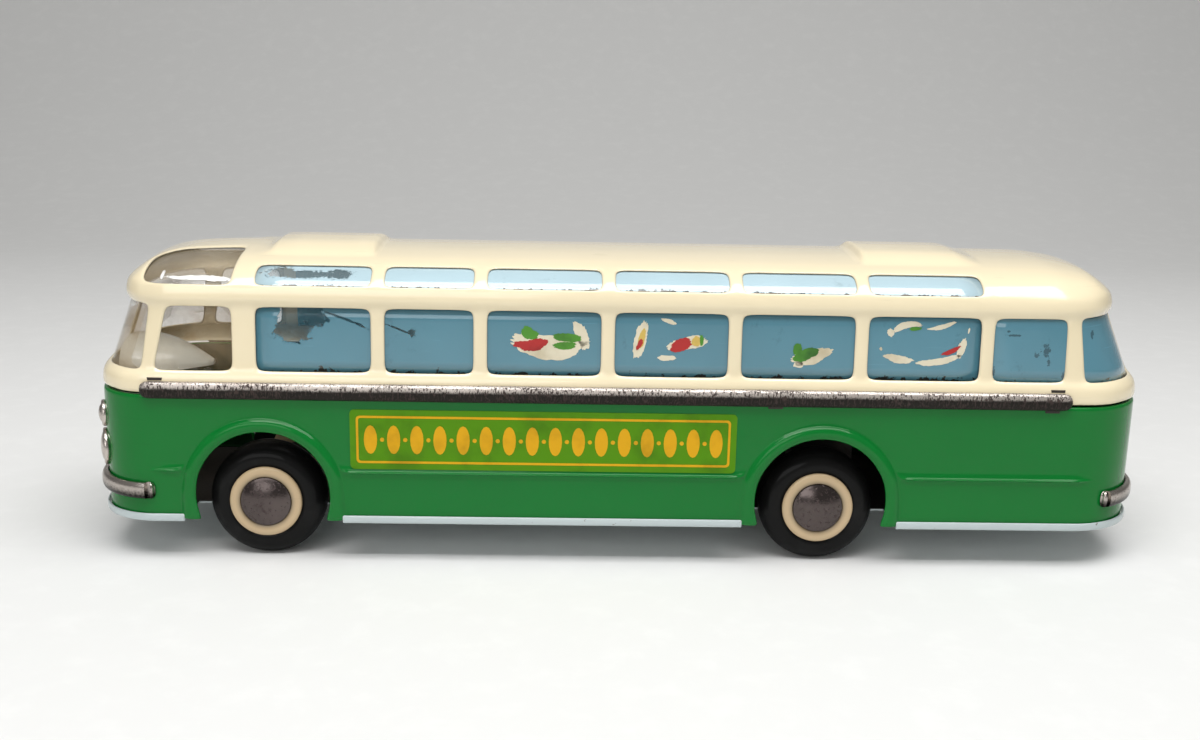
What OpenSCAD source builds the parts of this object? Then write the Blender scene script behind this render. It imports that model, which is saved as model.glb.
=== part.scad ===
// Pressed-tin toy coach, cream over green, with a friction flywheel motor on its rear axle.
// +X points to the front of the coach, +Y to its left side and +Z up. It stands on z = 0.

/* [Shells] */
// Length of the body between its front and rear faces
body_length = 276.6; // [266:0.2:300]
// Width of the body at the belt
body_width = 64; // [61:0.5:72]
// Thickness of the tin sheet
sheet = 0.5; // [0.35:0.05:0.8]
// Height of the floor, on which the lower shell stands
floor_z = 11; // [10:0.1:12]
// Height of the seam between the two shells
seam_z = 44; // [41:0.5:46]
// Radius of the bowed front and rear faces, seen from above
bow_r = 110; // [80:1:160]
// Radius of the front corners, seen from above
front_corner_r = 16; // [12:0.5:18]
// Radius of the rear corners, seen from above
rear_corner_r = 20; // [14:0.5:21]
// Width of the inward flanges where the two shells meet
seam_flange = 1.6; // [1:0.1:2.5]

/* [Window band] */
// Height of the sills of the windows
sill_z = 50.2; // [49:0.1:52]
// Drop from the brow to the heads of the windows
head_drop = 2.2; // [1.6:0.1:6]
// Drop from the start of the roof to the brow
brow_drop = 1.6; // [0.8:0.1:2.5]
// How far the sides stand in at the window sills
side_ledge = 1.35; // [0.8:0.05:2]
// How far the two ends stand in at the window sills
end_ledge = 2.1; // [1.2:0.1:3]
// How far the sides lean in from sill to head
side_lean = 1.05; // [0.5:0.05:2]
// How far the windscreen leans back from sill to head
front_lean = 5.8; // [3:0.1:8]
// How far the rear window leans in from sill to head
rear_lean = 6.9; // [3:0.1:8]
// How far the brow stands out over the window heads
brow_proud = 0.8; // [0.4:0.05:1.4]

/* [Windows] */
// Distance from the front face to the first passenger window
first_window_setback = 44.2; // [43:0.1:48]
// Distance from the last side window to the rear face
last_window_setback = 25.9; // [24:0.1:32]
// Width of the pillars between the passenger windows
pillar_w = 3.6; // [3:0.1:5]
// Width of the pillar behind the cab window
cab_pillar_w = 6.1; // [4:0.1:7]
// Width of the narrow second window
narrow_window_w = 22.3; // [18:0.1:28]
// Width of the last side window
last_window_w = 18.7; // [14:0.1:24]
// Radius of the window corners
window_corner_r = 2; // [0.8:0.1:3]
// Rise from the start of the roof to the sills of the roof windows
roof_sill_rise = 2; // [1.4:0.1:3]
// Height of the roof windows from sill to head
roof_window_h = 4.4; // [3:0.1:4.8]
// Width of the pillar in the middle of the windscreen
screen_pillar_w = 2.4; // [1.6:0.1:4]
// Corner angle that the windscreen pillars cover at the sill
screen_edge_angle = 22; // [15:1:30]
// Corner angle that the rear corner pillars cover
rear_edge_angle = 15; // [8:1:25]
// Width of the middle pane of the rear window
rear_pane_w = 21.6; // [16:0.1:26]
// Width of the pillars beside that pane
rear_pillar_w = 3.6; // [2.5:0.1:5]
// Distance of the roof-corner windows from the middle line
corner_window_gap = 8.5; // [6:0.1:11]
// Length of the roof-corner windows
corner_window_l = 23; // [18:0.5:24]

/* [Glazing] */
// Thickness of the celluloid sheets
celluloid = 0.4; // [0.25:0.05:0.6]
// Gap between the celluloid and the tin
glazing_gap = 0.15; // [0.1:0.05:0.3]
// How far the celluloid reaches past the windows
glazing_lap = 1.3; // [0.8:0.1:1.4]

/* [Roof] */
// Height at which the roof starts to curve over
roof_z = 70; // [69.6:0.1:70.6]
// Rise of the roof from there to its crown
roof_rise = 8.9; // [8:0.1:11]
// Length of the curved front end of the roof
front_dome = 28; // [24:0.5:32]
// Length of the curved rear end of the roof
rear_dome = 25; // [20:0.5:32]
// Height of the raised hatches over the crown
hatch_rise = 1.9; // [1:0.1:3]
// Length of the top of a hatch
hatch_l = 25.4; // [20:0.1:28]
// Width of a hatch
hatch_w = 34; // [24:0.5:38]
// Length of the gentle slope of a hatch
hatch_slope = 6.8; // [3:0.1:9]

/* [Belt rails] */
// Height of a belt rail
rail_h = 4.4; // [3:0.1:5]
// Depth of a belt rail
rail_d = 1.7; // [1:0.1:2.2]
// Height of the middle of the belt rails over the seam
rail_lift = 1.3; // [0.5:0.1:1.5]
// Distance from the front face to the front end of a rail
rail_front_setback = 15.1; // [15:0.1:30]
// Distance from the rear end of a rail to the rear face
rail_rear_setback = 23.9; // [21:0.1:40]
// Length of the folded tabs
tab_l = 4; // [2:0.1:6]
// Clearance of a tab in its slot
tab_gap = 0.15; // [0.1:0.05:0.3]
// How far the folded tabs of the shell lie above the underside of the pan
tab_sink = 0.1; // [0.05:0.05:0.2]

/* [Bumpers] */
// Height of the bumpers
bumper_h = 4.4; // [3:0.1:6]
// Depth of the bumpers
bumper_d = 1.5; // [0.8:0.1:3]
// Height of the middle of the bumpers
bumper_z = 18.6; // [17:0.1:22]
// Gap between a bumper and the shell
bumper_gap = 0.2; // [0.1:0.05:0.4]
// Angle through which the front bumper goes round each corner
front_bumper_wrap = 90; // [50:1:90]
// Angle through which the rear bumper goes round each corner
rear_bumper_wrap = 67; // [50:1:90]

/* [Lamps and signs] */
// Diameter of the headlamps
headlamp_d = 9.8; // [7:0.1:11]
// Height of the middle of the headlamps
headlamp_z = 27; // [26.6:0.1:29]
// Diameter of the small lamps above them
small_lamp_d = 7; // [4:0.1:8]
// Gap between the headlamps and the small lamps
lamp_gap = 0.6; // [0.3:0.1:1.5]
// Distance of the lamps from the middle line
lamp_y = 21; // [18:0.1:22]
// How far the lamps stand out
lamp_proud = 1.6; // [1:0.1:2]
// Gap between the sign panels and the beads of the wheel arches
sign_gap = 2.4; // [1.9:0.1:22]
// Height of the sign panels
sign_h = 15.8; // [10:0.1:16]
// Height of the lower edge of the sign panels
sign_z = 25; // [24.9:0.1:25.4]
// Thickness of the sign panels
sign_t = 0.15; // [0.1:0.05:0.3]
// Height of the crease along the sides
crease_z = 24; // [22:0.1:24.2]
// Radius of the crease
crease_r = 0.45; // [0.3:0.05:0.6]

/* [Wheels] */
// Distance between the axles
wheelbase = 144; // [138:0.5:150]
// Distance from the front face to the front axle
front_overhang = 45.1; // [43:0.1:48]
// Outer radius of a tyre
tyre_r = 15; // [14:0.1:15.5]
// Width of a tyre
tyre_w = 10; // [8:0.1:11]
// Radius of the shoulders of a tyre
tyre_shoulder_r = 3.5; // [2:0.1:3.8]
// Outer radius of the visible ring of a rim
rim_r = 9.3; // [8.5:0.1:10]
// Radius of the seat of a tyre on its rim
seat_r = 8.4; // [7.8:0.1:8.4]
// Radius of a hubcap
hubcap_r = 6.5; // [5.5:0.1:7]
// Height of the dome of a hubcap
hubcap_rise = 1.9; // [1:0.1:2.4]
// Distance of the outer faces of the tyres from the middle line
wheel_face_y = 29.2; // [28:0.1:29.4]
// Clearance around a tyre in its arch
arch_gap = 2.1; // [1.5:0.1:3]
// How far the arches are centred above the axles
arch_lift = 2.5; // [1:0.1:3]
// Width of the bead around an arch
bead_w = 3; // [2:0.1:3.5]
// How far the bead stands out
bead_proud = 0.8; // [0.4:0.05:1]

/* [Running gear] */
// Radius of the axles
axle_r = 1.25; // [1:0.05:1.5]
// Radius of the motor shafts
shaft_r = 1; // [0.8:0.05:1.2]
// Radial clearance of a shaft in its bearing
bearing_gap = 0.05; // [0.02:0.01:0.09]
// Radial gap of the pieces that are pressed on a shaft
seat_gap = 0.02; // [0.01:0.01:0.03]
// Thickness of the bracket and of the motor plates
plate_t = 0.8; // [0.6:0.05:1.2]
// Distance of the bracket's ears from the middle line
ear_y = 13; // [8:0.1:15]
// Distance of the motor plates from the middle line
motor_y = 8; // [7.5:0.1:9]
// Tooth size of the gears: pitch diameter over tooth count
gear_module = 0.5; // [0.4:0.05:0.55]
// Teeth of the large gears
gear_teeth = 30; // [26:1:32]
// Teeth of the pinions
pinion_teeth = 10; // [10:1:12]
// Width of the gears
gear_w = 2.4; // [1.5:0.1:2.8]
// Slack between meshing teeth
backlash = 0.14; // [0.1:0.01:0.18]
// Radius of the flywheel
flywheel_r = 12; // [9:0.1:12.5]
// Width of the flywheel
flywheel_w = 6; // [3:0.1:7]
// Running gap between turning pieces and what stands beside them
side_gap = 0.4; // [0.3:0.05:0.6]

/* [Base and cab] */
// Thickness of the base pan
pan_t = 0.6; // [0.4:0.05:0.8]
// Height of the rim of the pan over the floor
rim_h = 2; // [1:0.1:2.5]
// Gap between the rim of the pan and the lower shell
rim_gap = 0.1; // [0.05:0.05:0.2]
// Height of the cab cowl over the seam
cowl_h = 8.5; // [5:0.1:12]
// Length of the cab cowl
cowl_l = 25; // [15:0.5:30]
// Width of the cab cowl
cowl_w = 26; // [16:0.5:36]
// Gap between the top of the cab cowl and the windscreen
cowl_gap = 0.6; // [0.4:0.1:2]

/* [Hidden] */
$fn = 48;
half_l = body_length / 2;
half_w = body_width / 2;
front_axle_x = half_l - front_overhang;
rear_axle_x = front_axle_x - wheelbase;
axle_z = tyre_r;
arch_r = tyre_r + arch_gap;
arch_z = axle_z + arch_lift;
pan_z = floor_z - pan_t;
crown_z = roof_z + roof_rise;
brow_z = roof_z - brow_drop;
head_z = brow_z - head_drop;
roof_sill_z = roof_z + roof_sill_rise;
roof_head_z = roof_sill_z + roof_window_h;
sign_l = wheelbase - 2 * (arch_r + bead_w + sign_gap);
fullness = 2 / 2.25;
// Steps of the curves: bowed ends, corners and roof
bow_n = 4;
corner_n = 8;
roof_n = 9;
slack = 0.01;
far = 60;

CREAM = [0.95, 0.90, 0.76];
GREEN = [0.10, 0.50, 0.22];
PALE = [0.80, 0.84, 0.86];
NICKEL = [0.62, 0.60, 0.58];
BLUE = [0.42, 0.62, 0.75];
CLEAR = [0.80, 0.80, 0.78, 0.4];
STEEL = [0.55, 0.56, 0.58];
BRASS = [0.75, 0.60, 0.28];
BLACK = [0.06, 0.06, 0.06];
LIME = [0.55, 0.66, 0.10];

// Section of the body: how far its sides, front and rear stand in at a height
ledge_steps = [[0, 0], [0.3, 0.02], [0.6, 0.2], [0.85, 0.55], [1, 1]];
reveal = 0.15;
ledge_low_z = seam_z + 2.2;
ledge_top_z = sill_z - reveal;
band_top_z = head_z + reveal;
brow_low_z = band_top_z + (brow_z - band_top_z) * 0.45;
function ledge_z(s) = ledge_low_z + s * (ledge_top_z - ledge_low_z);

function section_table(ledge, lean) = concat(
    [[floor_z - far, 0], [seam_z, 0]],
    [for (s = ledge_steps) [ledge_z(s[0]), s[1] * ledge]],
    [[band_top_z, ledge + lean], [brow_low_z, ledge + lean - brow_proud * 0.55]],
    [[brow_z, ledge + lean - brow_proud], [roof_z, ledge + lean - brow_proud * 0.7]]
);
side_table = section_table(side_ledge, side_lean);
front_table = section_table(end_ledge, front_lean);
rear_table = section_table(end_ledge, rear_lean);

// Half outline of one end, from the middle line round the corner to an angle, d inside the skin
function end_half(w, x, corner_r, d, last = 90) =
    let (r = bow_r - d, c = corner_r - d, a = asin((w - corner_r) / (r - c)))
    concat(
        [for (i = [0 : bow_n]) let (t = a * i / bow_n) [x - d - r + r * cos(t), r * sin(t)]],
        [for (i = [1 : corner_n]) let (t = a + (last - a) * i / corner_n)
            [x - d - r + (r - c) * cos(a) + c * cos(t), (r - c) * sin(a) + c * sin(t)]]
    );
function width_at(z) = half_w - lookup(z, side_table);
function front_at(z) = half_l - lookup(z, front_table);
function rear_at(z) = half_l - lookup(z, rear_table);
function front_half(z, d) = end_half(width_at(z), front_at(z), front_corner_r, d);
function rear_half(z, d) = [for (p = end_half(width_at(z), rear_at(z), rear_corner_r, d)) [-p[0], p[1]]];
function reversed(list) = [for (i = [len(list) - 1 : -1 : 0]) list[i]];
function mirrored(list) = [for (p = list) [p[0], -p[1]]];

// Whole outline at a height, d inside the skin, anticlockwise from the front
function outline(z, d) =
    let (left = concat(front_half(z, d), reversed(rear_half(z, d))), n = len(left))
    concat(left, mirrored([for (i = [n - 2 : -1 : 1]) left[i]]));

// Outline of the roof, t degrees on from where it starts to curve over
function roof_ring(t, d) =
    let (s = pow(cos(t), fullness), z = roof_z + (roof_rise - d) * pow(sin(t), fullness),
        front = front_at(roof_z) - front_dome, rear = rear_dome - rear_at(roof_z))
    [for (p = outline(roof_z, d)) let (x = min(max(p[0], rear), front))
        [x + (p[0] - x) * s, p[1] * s, z]];
function flat_ring(z, d) = [for (p = outline(z, d)) [p[0], p[1], z]];

// Angle and half width of the roof at a height
function roof_angle(z, d) = asin(pow((z - roof_z) / (roof_rise - d), 1 / fullness));

upper_heights = concat([for (s = ledge_steps) ledge_z(s[0])], [band_top_z, brow_low_z, brow_z]);
crown_angle = 86;
roof_angles = [for (i = [0 : roof_n]) crown_angle * i / roof_n];

// Solid through a stack of rings that have as many points each
module loft(rings) {
    n = len(rings[0]);
    last = len(rings) - 1;
    sides = [for (j = [0 : last - 1], i = [0 : n - 1])
        let (a = j * n + i, b = j * n + (i + 1) % n)
        each [[a, a + n, b + n], [a, b + n, b]]];
    ends = [[for (i = [0 : n - 1]) i], [for (i = [n - 1 : -1 : 0]) last * n + i]];
    polyhedron([for (r = rings) each r], concat(ends, sides));
}

// Solid of the upper shell from a height up, d inside its skin
module upper_solid(low_z, d) {
    loft(concat(
        [flat_ring(low_z, d)],
        [for (z = upper_heights) flat_ring(z, d)],
        [for (t = roof_angles) roof_ring(t, d)]
    ));
    for (end = [1, -1])
        hatch(end, d);
}

// Path around one end, from the left to the right: end is 1 in front, -1 behind. p is
// [height, depth inside the skin, how far the sides stand in, how far the end stands in].
// It stops at an angle of the corners, or goes on along the sides to side_x where that is given.
function end_path(end, p, last, side_x) =
    let (corner_r = end > 0 ? front_corner_r : rear_corner_r,
        half = [for (q = end_half(half_w - p[2], half_l - p[3], corner_r, p[1], last)) [end * q[0], q[1]]],
        far_end = is_undef(side_x) ? [] : [[side_x, half[len(half) - 1][1]]],
        left = concat(half, far_end))
    concat(reversed(left), mirrored([for (i = [1 : len(left) - 1]) left[i]]));

// Band around one end, whose cross-section is a list of such points
module end_band(end, profile, last = 90, side_x = undef) {
    paths = [for (p = profile) [for (q = end_path(end, p, last, side_x)) [q[0], q[1], p[0]]]];
    n = len(paths[0]);
    m = len(profile);
    turn = end > 0 ? 1 : -1;
    sides = [for (k = [0 : m - 1], i = [0 : n - 2])
        let (a = k * n + i, b = ((k + 1) % m) * n + i)
        each [[a, b, b + 1], [a, b + 1, a + 1]]];
    ends = [[for (k = [m - 1 : -1 : 0]) k * n], [for (k = [0 : m - 1]) k * n + n - 1]];
    faces = concat(sides, ends);
    polyhedron([for (p = paths) each p], turn > 0 ? faces : [for (f = faces) reversed(f)]);
}

// Flat shape of X and Z, spread across Y between two planes
module across(y0, y1) {
    translate([0, y1, 0])
        rotate([90, 0, 0])
            linear_extrude(y1 - y0)
                children();
}

// Rectangle with round corners between two corner points
module rounded(x0, z0, x1, z1, r) {
    corners = [[x1 - r, z1 - r, 0], [x0 + r, z1 - r, 90], [x0 + r, z0 + r, 180], [x1 - r, z0 + r, 270]];
    polygon([for (c = corners, i = [0 : 5]) [c[0] + r * cos(c[2] + 18 * i), c[1] + r * sin(c[2] + 18 * i)]]);
}

// Window cut with round corners through both sides
module window_cut(x0, z0, x1, z1, r) {
    hull()
        for (x = [x0 + r, x1 - r], z = [z0 + r, z1 - r])
            translate([x, -half_w, z])
                rotate([-90, 0, 0])
                    cylinder(h = body_width, r = r, $fn = 24);
}

// Side windows: [rear edge, front edge] of each, from front to rear
window_row = half_l - first_window_setback + half_l - last_window_setback;
window_w = (window_row - narrow_window_w - last_window_w - 6 * pillar_w) / 5;
window_ws = [window_w, narrow_window_w, window_w, window_w, window_w, window_w, last_window_w];
function run(i) = i == 0 ? 0 : run(i - 1) + window_ws[i - 1] + pillar_w;
windows = [for (i = [0 : 6]) let (x = half_l - first_window_setback - run(i)) [x - window_ws[i], x]];
roof_windows = [for (i = [0 : 5]) windows[i]];
cab_window_rear = windows[0][1] + cab_pillar_w;

// Where the straight sides end at a height
function front_corner_x(z) = let (h = front_half(z, 0)) h[len(h) - 1][0];
function rear_corner_x(z) = let (h = rear_half(z, 0)) h[len(h) - 1][0];
cab_window_front = [front_corner_x(sill_z) + 1, front_corner_x(head_z) + 3];

// Region of the plan that a window takes from one end: all beyond a ray from the corner's centre
module end_window(end, corner_r, edge_angle, inner_y) {
    mid_z = (sill_z + head_z) / 2;
    centre_x = end > 0 ? front_corner_x(mid_z) : rear_corner_x(mid_z);
    centre_y = width_at(mid_z) - corner_r;
    ray = [end * sin(edge_angle), cos(edge_angle)];
    translate([0, 0, sill_z])
        linear_extrude(head_z - sill_z)
            for (side = [1, -1])
                polygon([
                    [centre_x, side * inner_y], [centre_x, side * centre_y],
                    [centre_x + ray[0] * far, side * (centre_y + ray[1] * far)],
                    [centre_x + end * far, side * inner_y]
                ]);
}

// Plan of a roof-corner window, grown by a lap
corner_window_rear = cab_window_rear - 0.5;
module corner_window_plan(lap) {
    x0 = corner_window_rear - lap;
    x1 = corner_window_rear + corner_window_l + lap;
    polygon([
        [x0, corner_window_gap - lap], [x1 - 6, corner_window_gap - lap], [x1, half_w / 2],
        [x1, half_w], [x0, half_w]
    ]);
}
module corner_window_cut(lap) {
    translate([0, 0, roof_sill_z - lap])
        linear_extrude(crown_z + hatch_rise)
            corner_window_plan(lap);
}

// Raised hatch: end 1 is the one in front, with its gentle slope forwards.
// Its camber lists [distance from its edge, drop under its top] on the way to the middle.
hatch_steep = 1.3;
hatch_camber = [[0, 3.4], [4, 0.9], [9, 0.3]];
hatch_back_drop = 1.5;
hatch_front_drop = 0.6;
module hatch(end, d) {
    steep_x = end > 0 ? windows[0][0] : windows[4][0];
    x = [0, hatch_steep, hatch_steep + hatch_l, hatch_steep + hatch_l + hatch_slope];
    low_z = roof_z + roof_rise / 2;
    top_z = crown_z + hatch_rise - d;
    side = hatch_w / 2 - d;
    left = [for (c = hatch_camber) [side - c[0], top_z - c[1]]];
    intersection() {
        across(-half_w, half_w)
            polygon([for (p = [
                [x[0] + d, low_z], [x[0] + d, crown_z - hatch_back_drop], [x[1] + d, top_z],
                [x[2] - d, top_z], [x[3] - d, crown_z - hatch_front_drop], [x[3] - d, low_z]
            ]) [steep_x + end * p[0], p[1]]]);
        rotate([90, 0, 90])
            translate([0, 0, -half_l])
                linear_extrude(body_length)
                    polygon(concat([[-side, low_z], [side, low_z]], left, [[0, top_z]],
                        [for (p = reversed(left)) [-p[0], p[1]]]));
    }
}

module window_cuts() {
    for (w = windows)
        window_cut(w[0], sill_z, w[1], head_z, window_corner_r);
    for (w = roof_windows)
        window_cut(w[0], roof_sill_z, w[1], roof_head_z, window_corner_r * 0.75);
    across(-half_w - slack, half_w + slack)
        polygon([[cab_window_rear, sill_z], [cab_window_front[0], sill_z],
            [cab_window_front[1], head_z], [cab_window_rear, head_z]]);
    end_window(1, front_corner_r, screen_edge_angle, screen_pillar_w / 2);
    end_window(-1, rear_corner_r, rear_edge_angle, rear_pane_w / 2 + rear_pillar_w);
    translate([-half_l - far, -rear_pane_w / 2, sill_z])
        cube([far + rear_corner_r, rear_pane_w, head_z - sill_z]);
    for (side = [0, 1])
        mirror([0, side, 0])
            corner_window_cut(0);
}

// Folded tabs of the belt rails, as [middle along X]
rail_front = half_l - rail_front_setback;
rail_rear = rail_rear_setback - half_l;
rail_tabs = [rail_front - tab_l, rail_rear + tab_l];
rail_z = seam_z + rail_lift;
module rail_tab(x, gap) {
    translate([x - tab_l / 2 - gap, half_w - 2, rail_z + rail_h / 2 - sheet - gap])
        cube([tab_l + 2 * gap, 2 + rail_d / 3, sheet + 2 * gap]);
}

// Upper shell with its roof, hatches, window openings and the inward flange at the seam
module upper_body() {
    color(CREAM)
        difference() {
            upper_solid(seam_z, 0);
            upper_solid(seam_z + sheet, sheet);
            flange_hole(seam_z);
            window_cuts();
            for (side = [0, 1], x = rail_tabs)
                mirror([0, side, 0])
                    rail_tab(x, tab_gap);
        }
}

// Hole inside a seam flange whose lower face is at a height
module flange_hole(z) {
    translate([0, 0, z - slack])
        linear_extrude(sheet + 2 * slack)
            polygon(outline(seam_z, sheet + seam_flange));
}

// Tabs under the lower shell, as middles along X between and behind the arches
arch_span = arch_r + bead_w;
shell_tabs = [
    (front_axle_x - arch_span) * 0.7 + (rear_axle_x + arch_span) * 0.3,
    (front_axle_x - arch_span) * 0.3 + (rear_axle_x + arch_span) * 0.7,
    (rear_axle_x - arch_span + tab_l) * 2 / 3 + (rear_corner_x(floor_z) + tab_l) / 3,
    rear_corner_x(floor_z) + tab_l
];

// Crease runs along a side: [rear end, front end]
crease_runs = [
    [front_axle_x + arch_span - bead_w / 2, front_corner_x(floor_z)],
    [rear_axle_x + arch_span - bead_w / 2, front_axle_x - arch_span + bead_w / 2],
    [rear_corner_x(floor_z) - 3, rear_axle_x - arch_span + bead_w / 2]
];

// Bead around a wheel arch on the left side
module arch_bead(x) {
    bead_mid = arch_r + bead_w / 2 - slack;
    section_r = (bead_w * bead_w / 4 + bead_proud * bead_proud) / (2 * bead_proud);
    translate([x, half_w, arch_z])
        rotate([-90, 0, 0])
            rotate_extrude($fn = 96)
                translate([bead_mid, 0])
                    intersection() {
                        translate([0, bead_proud - section_r])
                            circle(section_r);
                        translate([-bead_w / 2, -sheet / 2])
                            square([bead_w, sheet + bead_proud]);
                    }
}

// Lower shell with its wheel arches
module lower_body() {
    color(GREEN) {
        difference() {
            union() {
                translate([0, 0, floor_z])
                    linear_extrude(seam_z - floor_z)
                        polygon(outline(floor_z, 0));
                for (side = [0, 1], x = [front_axle_x, rear_axle_x])
                    mirror([0, side, 0])
                        arch_bead(x);
                for (side = [-1, 1], r = crease_runs)
                    translate([r[0], side * half_w, crease_z])
                        rotate([0, 90, 0])
                            cylinder(h = r[1] - r[0], r = crease_r);
            }
            for (x = [front_axle_x, rear_axle_x])
                translate([x, -half_w - far, arch_z])
                    rotate([-90, 0, 0])
                        cylinder(h = 2 * (half_w + far), r = arch_r);
            translate([-half_l, -half_w - far, floor_z - far])
                cube([body_length, 2 * (half_w + far), far]);
            translate([0, 0, floor_z - slack])
                linear_extrude(seam_z - sheet - floor_z + slack)
                    polygon(outline(floor_z, sheet));
            flange_hole(seam_z - sheet);
        }
        for (side = [0, 1], x = shell_tabs)
            mirror([0, side, 0])
                shell_tab(x);
    }
}

// Folded tab of the lower shell, through the pan and in under its raised pad
module shell_tab(x) {
    translate([x - tab_l / 2, half_w - sheet, pan_z + tab_sink])
        cube([tab_l, sheet, floor_z - pan_z - tab_sink]);
    translate([x - tab_l / 2, half_w - tab_reach, pan_z + tab_sink])
        cube([tab_l, tab_reach, sheet]);
}

// Raised pad of the pan over a folded tab, and the recess under it
tab_reach = 5 * sheet;
tab_space = sheet + tab_sink;
module tab_pad(x) {
    translate([x - tab_l / 2 - tab_gap - pan_t, half_w - tab_reach - tab_gap - pan_t, pan_z])
        cube([tab_l + 2 * (tab_gap + pan_t), tab_reach - sheet + pan_t, tab_space + pan_t]);
}
module tab_recess(x) {
    translate([x - tab_l / 2 - tab_gap, half_w - tab_reach - tab_gap, pan_z - slack])
        cube([tab_l + 2 * tab_gap, tab_reach, tab_space + slack]);
}

// Motor layout: rear axle, lay shaft and flywheel arbor, as [X, Z]
gear_r = gear_module * gear_teeth / 2;
pinion_r = gear_module * pinion_teeth / 2;
centre_distance = gear_r + pinion_r;
lay_angle = 62;
arbor_angle = 10;
axle_at = [rear_axle_x, axle_z];
lay_at = axle_at + centre_distance * [cos(lay_angle), sin(lay_angle)];
arbor_at = lay_at + centre_distance * [cos(arbor_angle), sin(arbor_angle)];
gear_tip_r = gear_r + 0.65 * gear_module;
plate_margin = 5;
plate_x0 = rear_axle_x - gear_tip_r - plate_margin;
plate_x1 = arbor_at[0] + plate_margin;
plate_top = arbor_at[1] + gear_tip_r / 2 + plate_margin;

// Base pan with its upturned rim, wheel notches and the window under the motor
module base_pan() {
    rim_in = -rim_gap;
    rim_out = -rim_gap - pan_t;
    notch = arch_r + bead_w;
    wheel_in = wheel_face_y - tyre_w - 2 * side_gap;
    color(PALE)
        difference() {
            union() {
                difference() {
                    translate([0, 0, pan_z])
                        linear_extrude(pan_t + rim_h)
                            polygon(outline(floor_z, rim_out));
                    translate([0, 0, floor_z])
                        linear_extrude(rim_h + slack)
                            polygon(outline(floor_z, rim_in));
                }
                for (side = [0, 1], x = shell_tabs)
                    mirror([0, side, 0])
                        tab_pad(x);
            }
            for (side = [0, 1], x = shell_tabs)
                mirror([0, side, 0])
                    tab_recess(x);
            for (side = [0, 1], x = [front_axle_x, rear_axle_x])
                mirror([0, side, 0])
                    translate([x - notch, wheel_in, pan_z - slack])
                        cube([2 * notch, half_w, pan_t + rim_h + 2 * slack]);
            translate([rear_axle_x - gear_tip_r - 1, side_gap - motor_y, pan_z - slack])
                cube([2 * gear_tip_r + 2, 2 * (motor_y - side_gap), pan_t + 2 * slack]);
            for (side = [0, 1], x = shell_tabs)
                mirror([0, side, 0])
                    translate([x - tab_l / 2 - tab_gap, half_w - sheet - tab_gap, pan_z - slack])
                        cube([tab_l + 2 * tab_gap, sheet + tab_gap + rim_gap, pan_t + 2 * slack]);
        }
}

// Plated half-round rail over the seam on the left side
module belt_rail() {
    section_r = (rail_h * rail_h / 4 + rail_d * rail_d) / (2 * rail_d);
    color(NICKEL) {
        translate([rail_rear, half_w, rail_z])
            rotate([90, 0, 90])
                linear_extrude(rail_front - rail_rear)
                    intersection() {
                        translate([rail_d - section_r, 0])
                            circle(section_r);
                        translate([0, -rail_h / 2])
                            square([rail_d, rail_h]);
                    }
        for (x = rail_tabs)
            rail_tab(x, 0);
    }
}

// Plated bumper around one end
module bumper(end) {
    edge_d = bumper_d * 0.35;
    arc = [for (a = [-90 : 30 : 90])
        [bumper_z + bumper_h / 2 * sin(a), -bumper_gap - edge_d - (bumper_d - edge_d) * cos(a), 0, 0]];
    back = [for (side = [-1, 1]) [bumper_z + side * bumper_h / 2, -bumper_gap, 0, 0]];
    profile = concat([back[0]], arc, [back[1]]);
    color(NICKEL)
        end_band(end, profile, end > 0 ? front_bumper_wrap : rear_bumper_wrap);
}

// Celluloid sheets: their depths under the skin, their edges, and how far they stand in at a height
glass_out = sheet + glazing_gap;
glass_in = glass_out + celluloid;
glass_low = sill_z - glazing_lap / 2;
glass_high = head_z + glazing_lap / 2;
function glass_inset(z, ledge, lean) = ledge + lean * (z - ledge_top_z) / (band_top_z - ledge_top_z);

// Sheet around one end, that ends along the sides at side_x
module end_glazing(end, side_x, lean) {
    corners = [[glass_low, glass_out], [glass_low, glass_in], [glass_high, glass_in], [glass_high, glass_out]];
    end_band(end, [for (c = corners)
        [c[0], c[1], glass_inset(c[0], side_ledge, side_lean), glass_inset(c[0], end_ledge, lean)]],
        side_x = side_x);
}
module windscreen() {
    color(CLEAR)
        end_glazing(1, cab_window_rear - glazing_lap, front_lean);
}
module rear_window() {
    color(BLUE)
        end_glazing(-1, windows[6][1] + glazing_lap, rear_lean);
}

// Strip behind the passenger windows of the left side, up to the rear window's sheet
module side_windows() {
    y0 = half_w - glass_inset(glass_low, side_ledge, side_lean) - glass_out;
    y1 = half_w - glass_inset(glass_high, side_ledge, side_lean) - glass_out;
    color(BLUE)
        translate([windows[5][0] - glazing_lap, 0, 0])
            rotate([90, 0, 90])
                linear_extrude(windows[0][1] - windows[5][0] + 2 * glazing_lap)
                    polygon([[y0, glass_low], [y1, glass_high], [y1 - celluloid, glass_high],
                        [y0 - celluloid, glass_low]]);
}

// Curved strip of celluloid behind the roof windows of the left side
module roof_glazing() {
    angles = [for (i = [0 : 6])
        let (a = roof_angle(roof_sill_z - 0.6, sheet), b = roof_angle(roof_head_z + 0.6, sheet))
        a + (b - a) * i / 6];
    function strip(d) = [for (t = angles)
        [(width_at(roof_z) - d) * pow(cos(t), fullness), roof_z + (roof_rise - d) * pow(sin(t), fullness)]];
    color(BLUE)
        translate([windows[5][0] - glazing_lap, 0, 0])
            rotate([90, 0, 90])
                linear_extrude(windows[0][1] - windows[5][0] + 2 * glazing_lap)
                    polygon(concat(strip(glass_out), reversed(strip(glass_in))));
}

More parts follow.
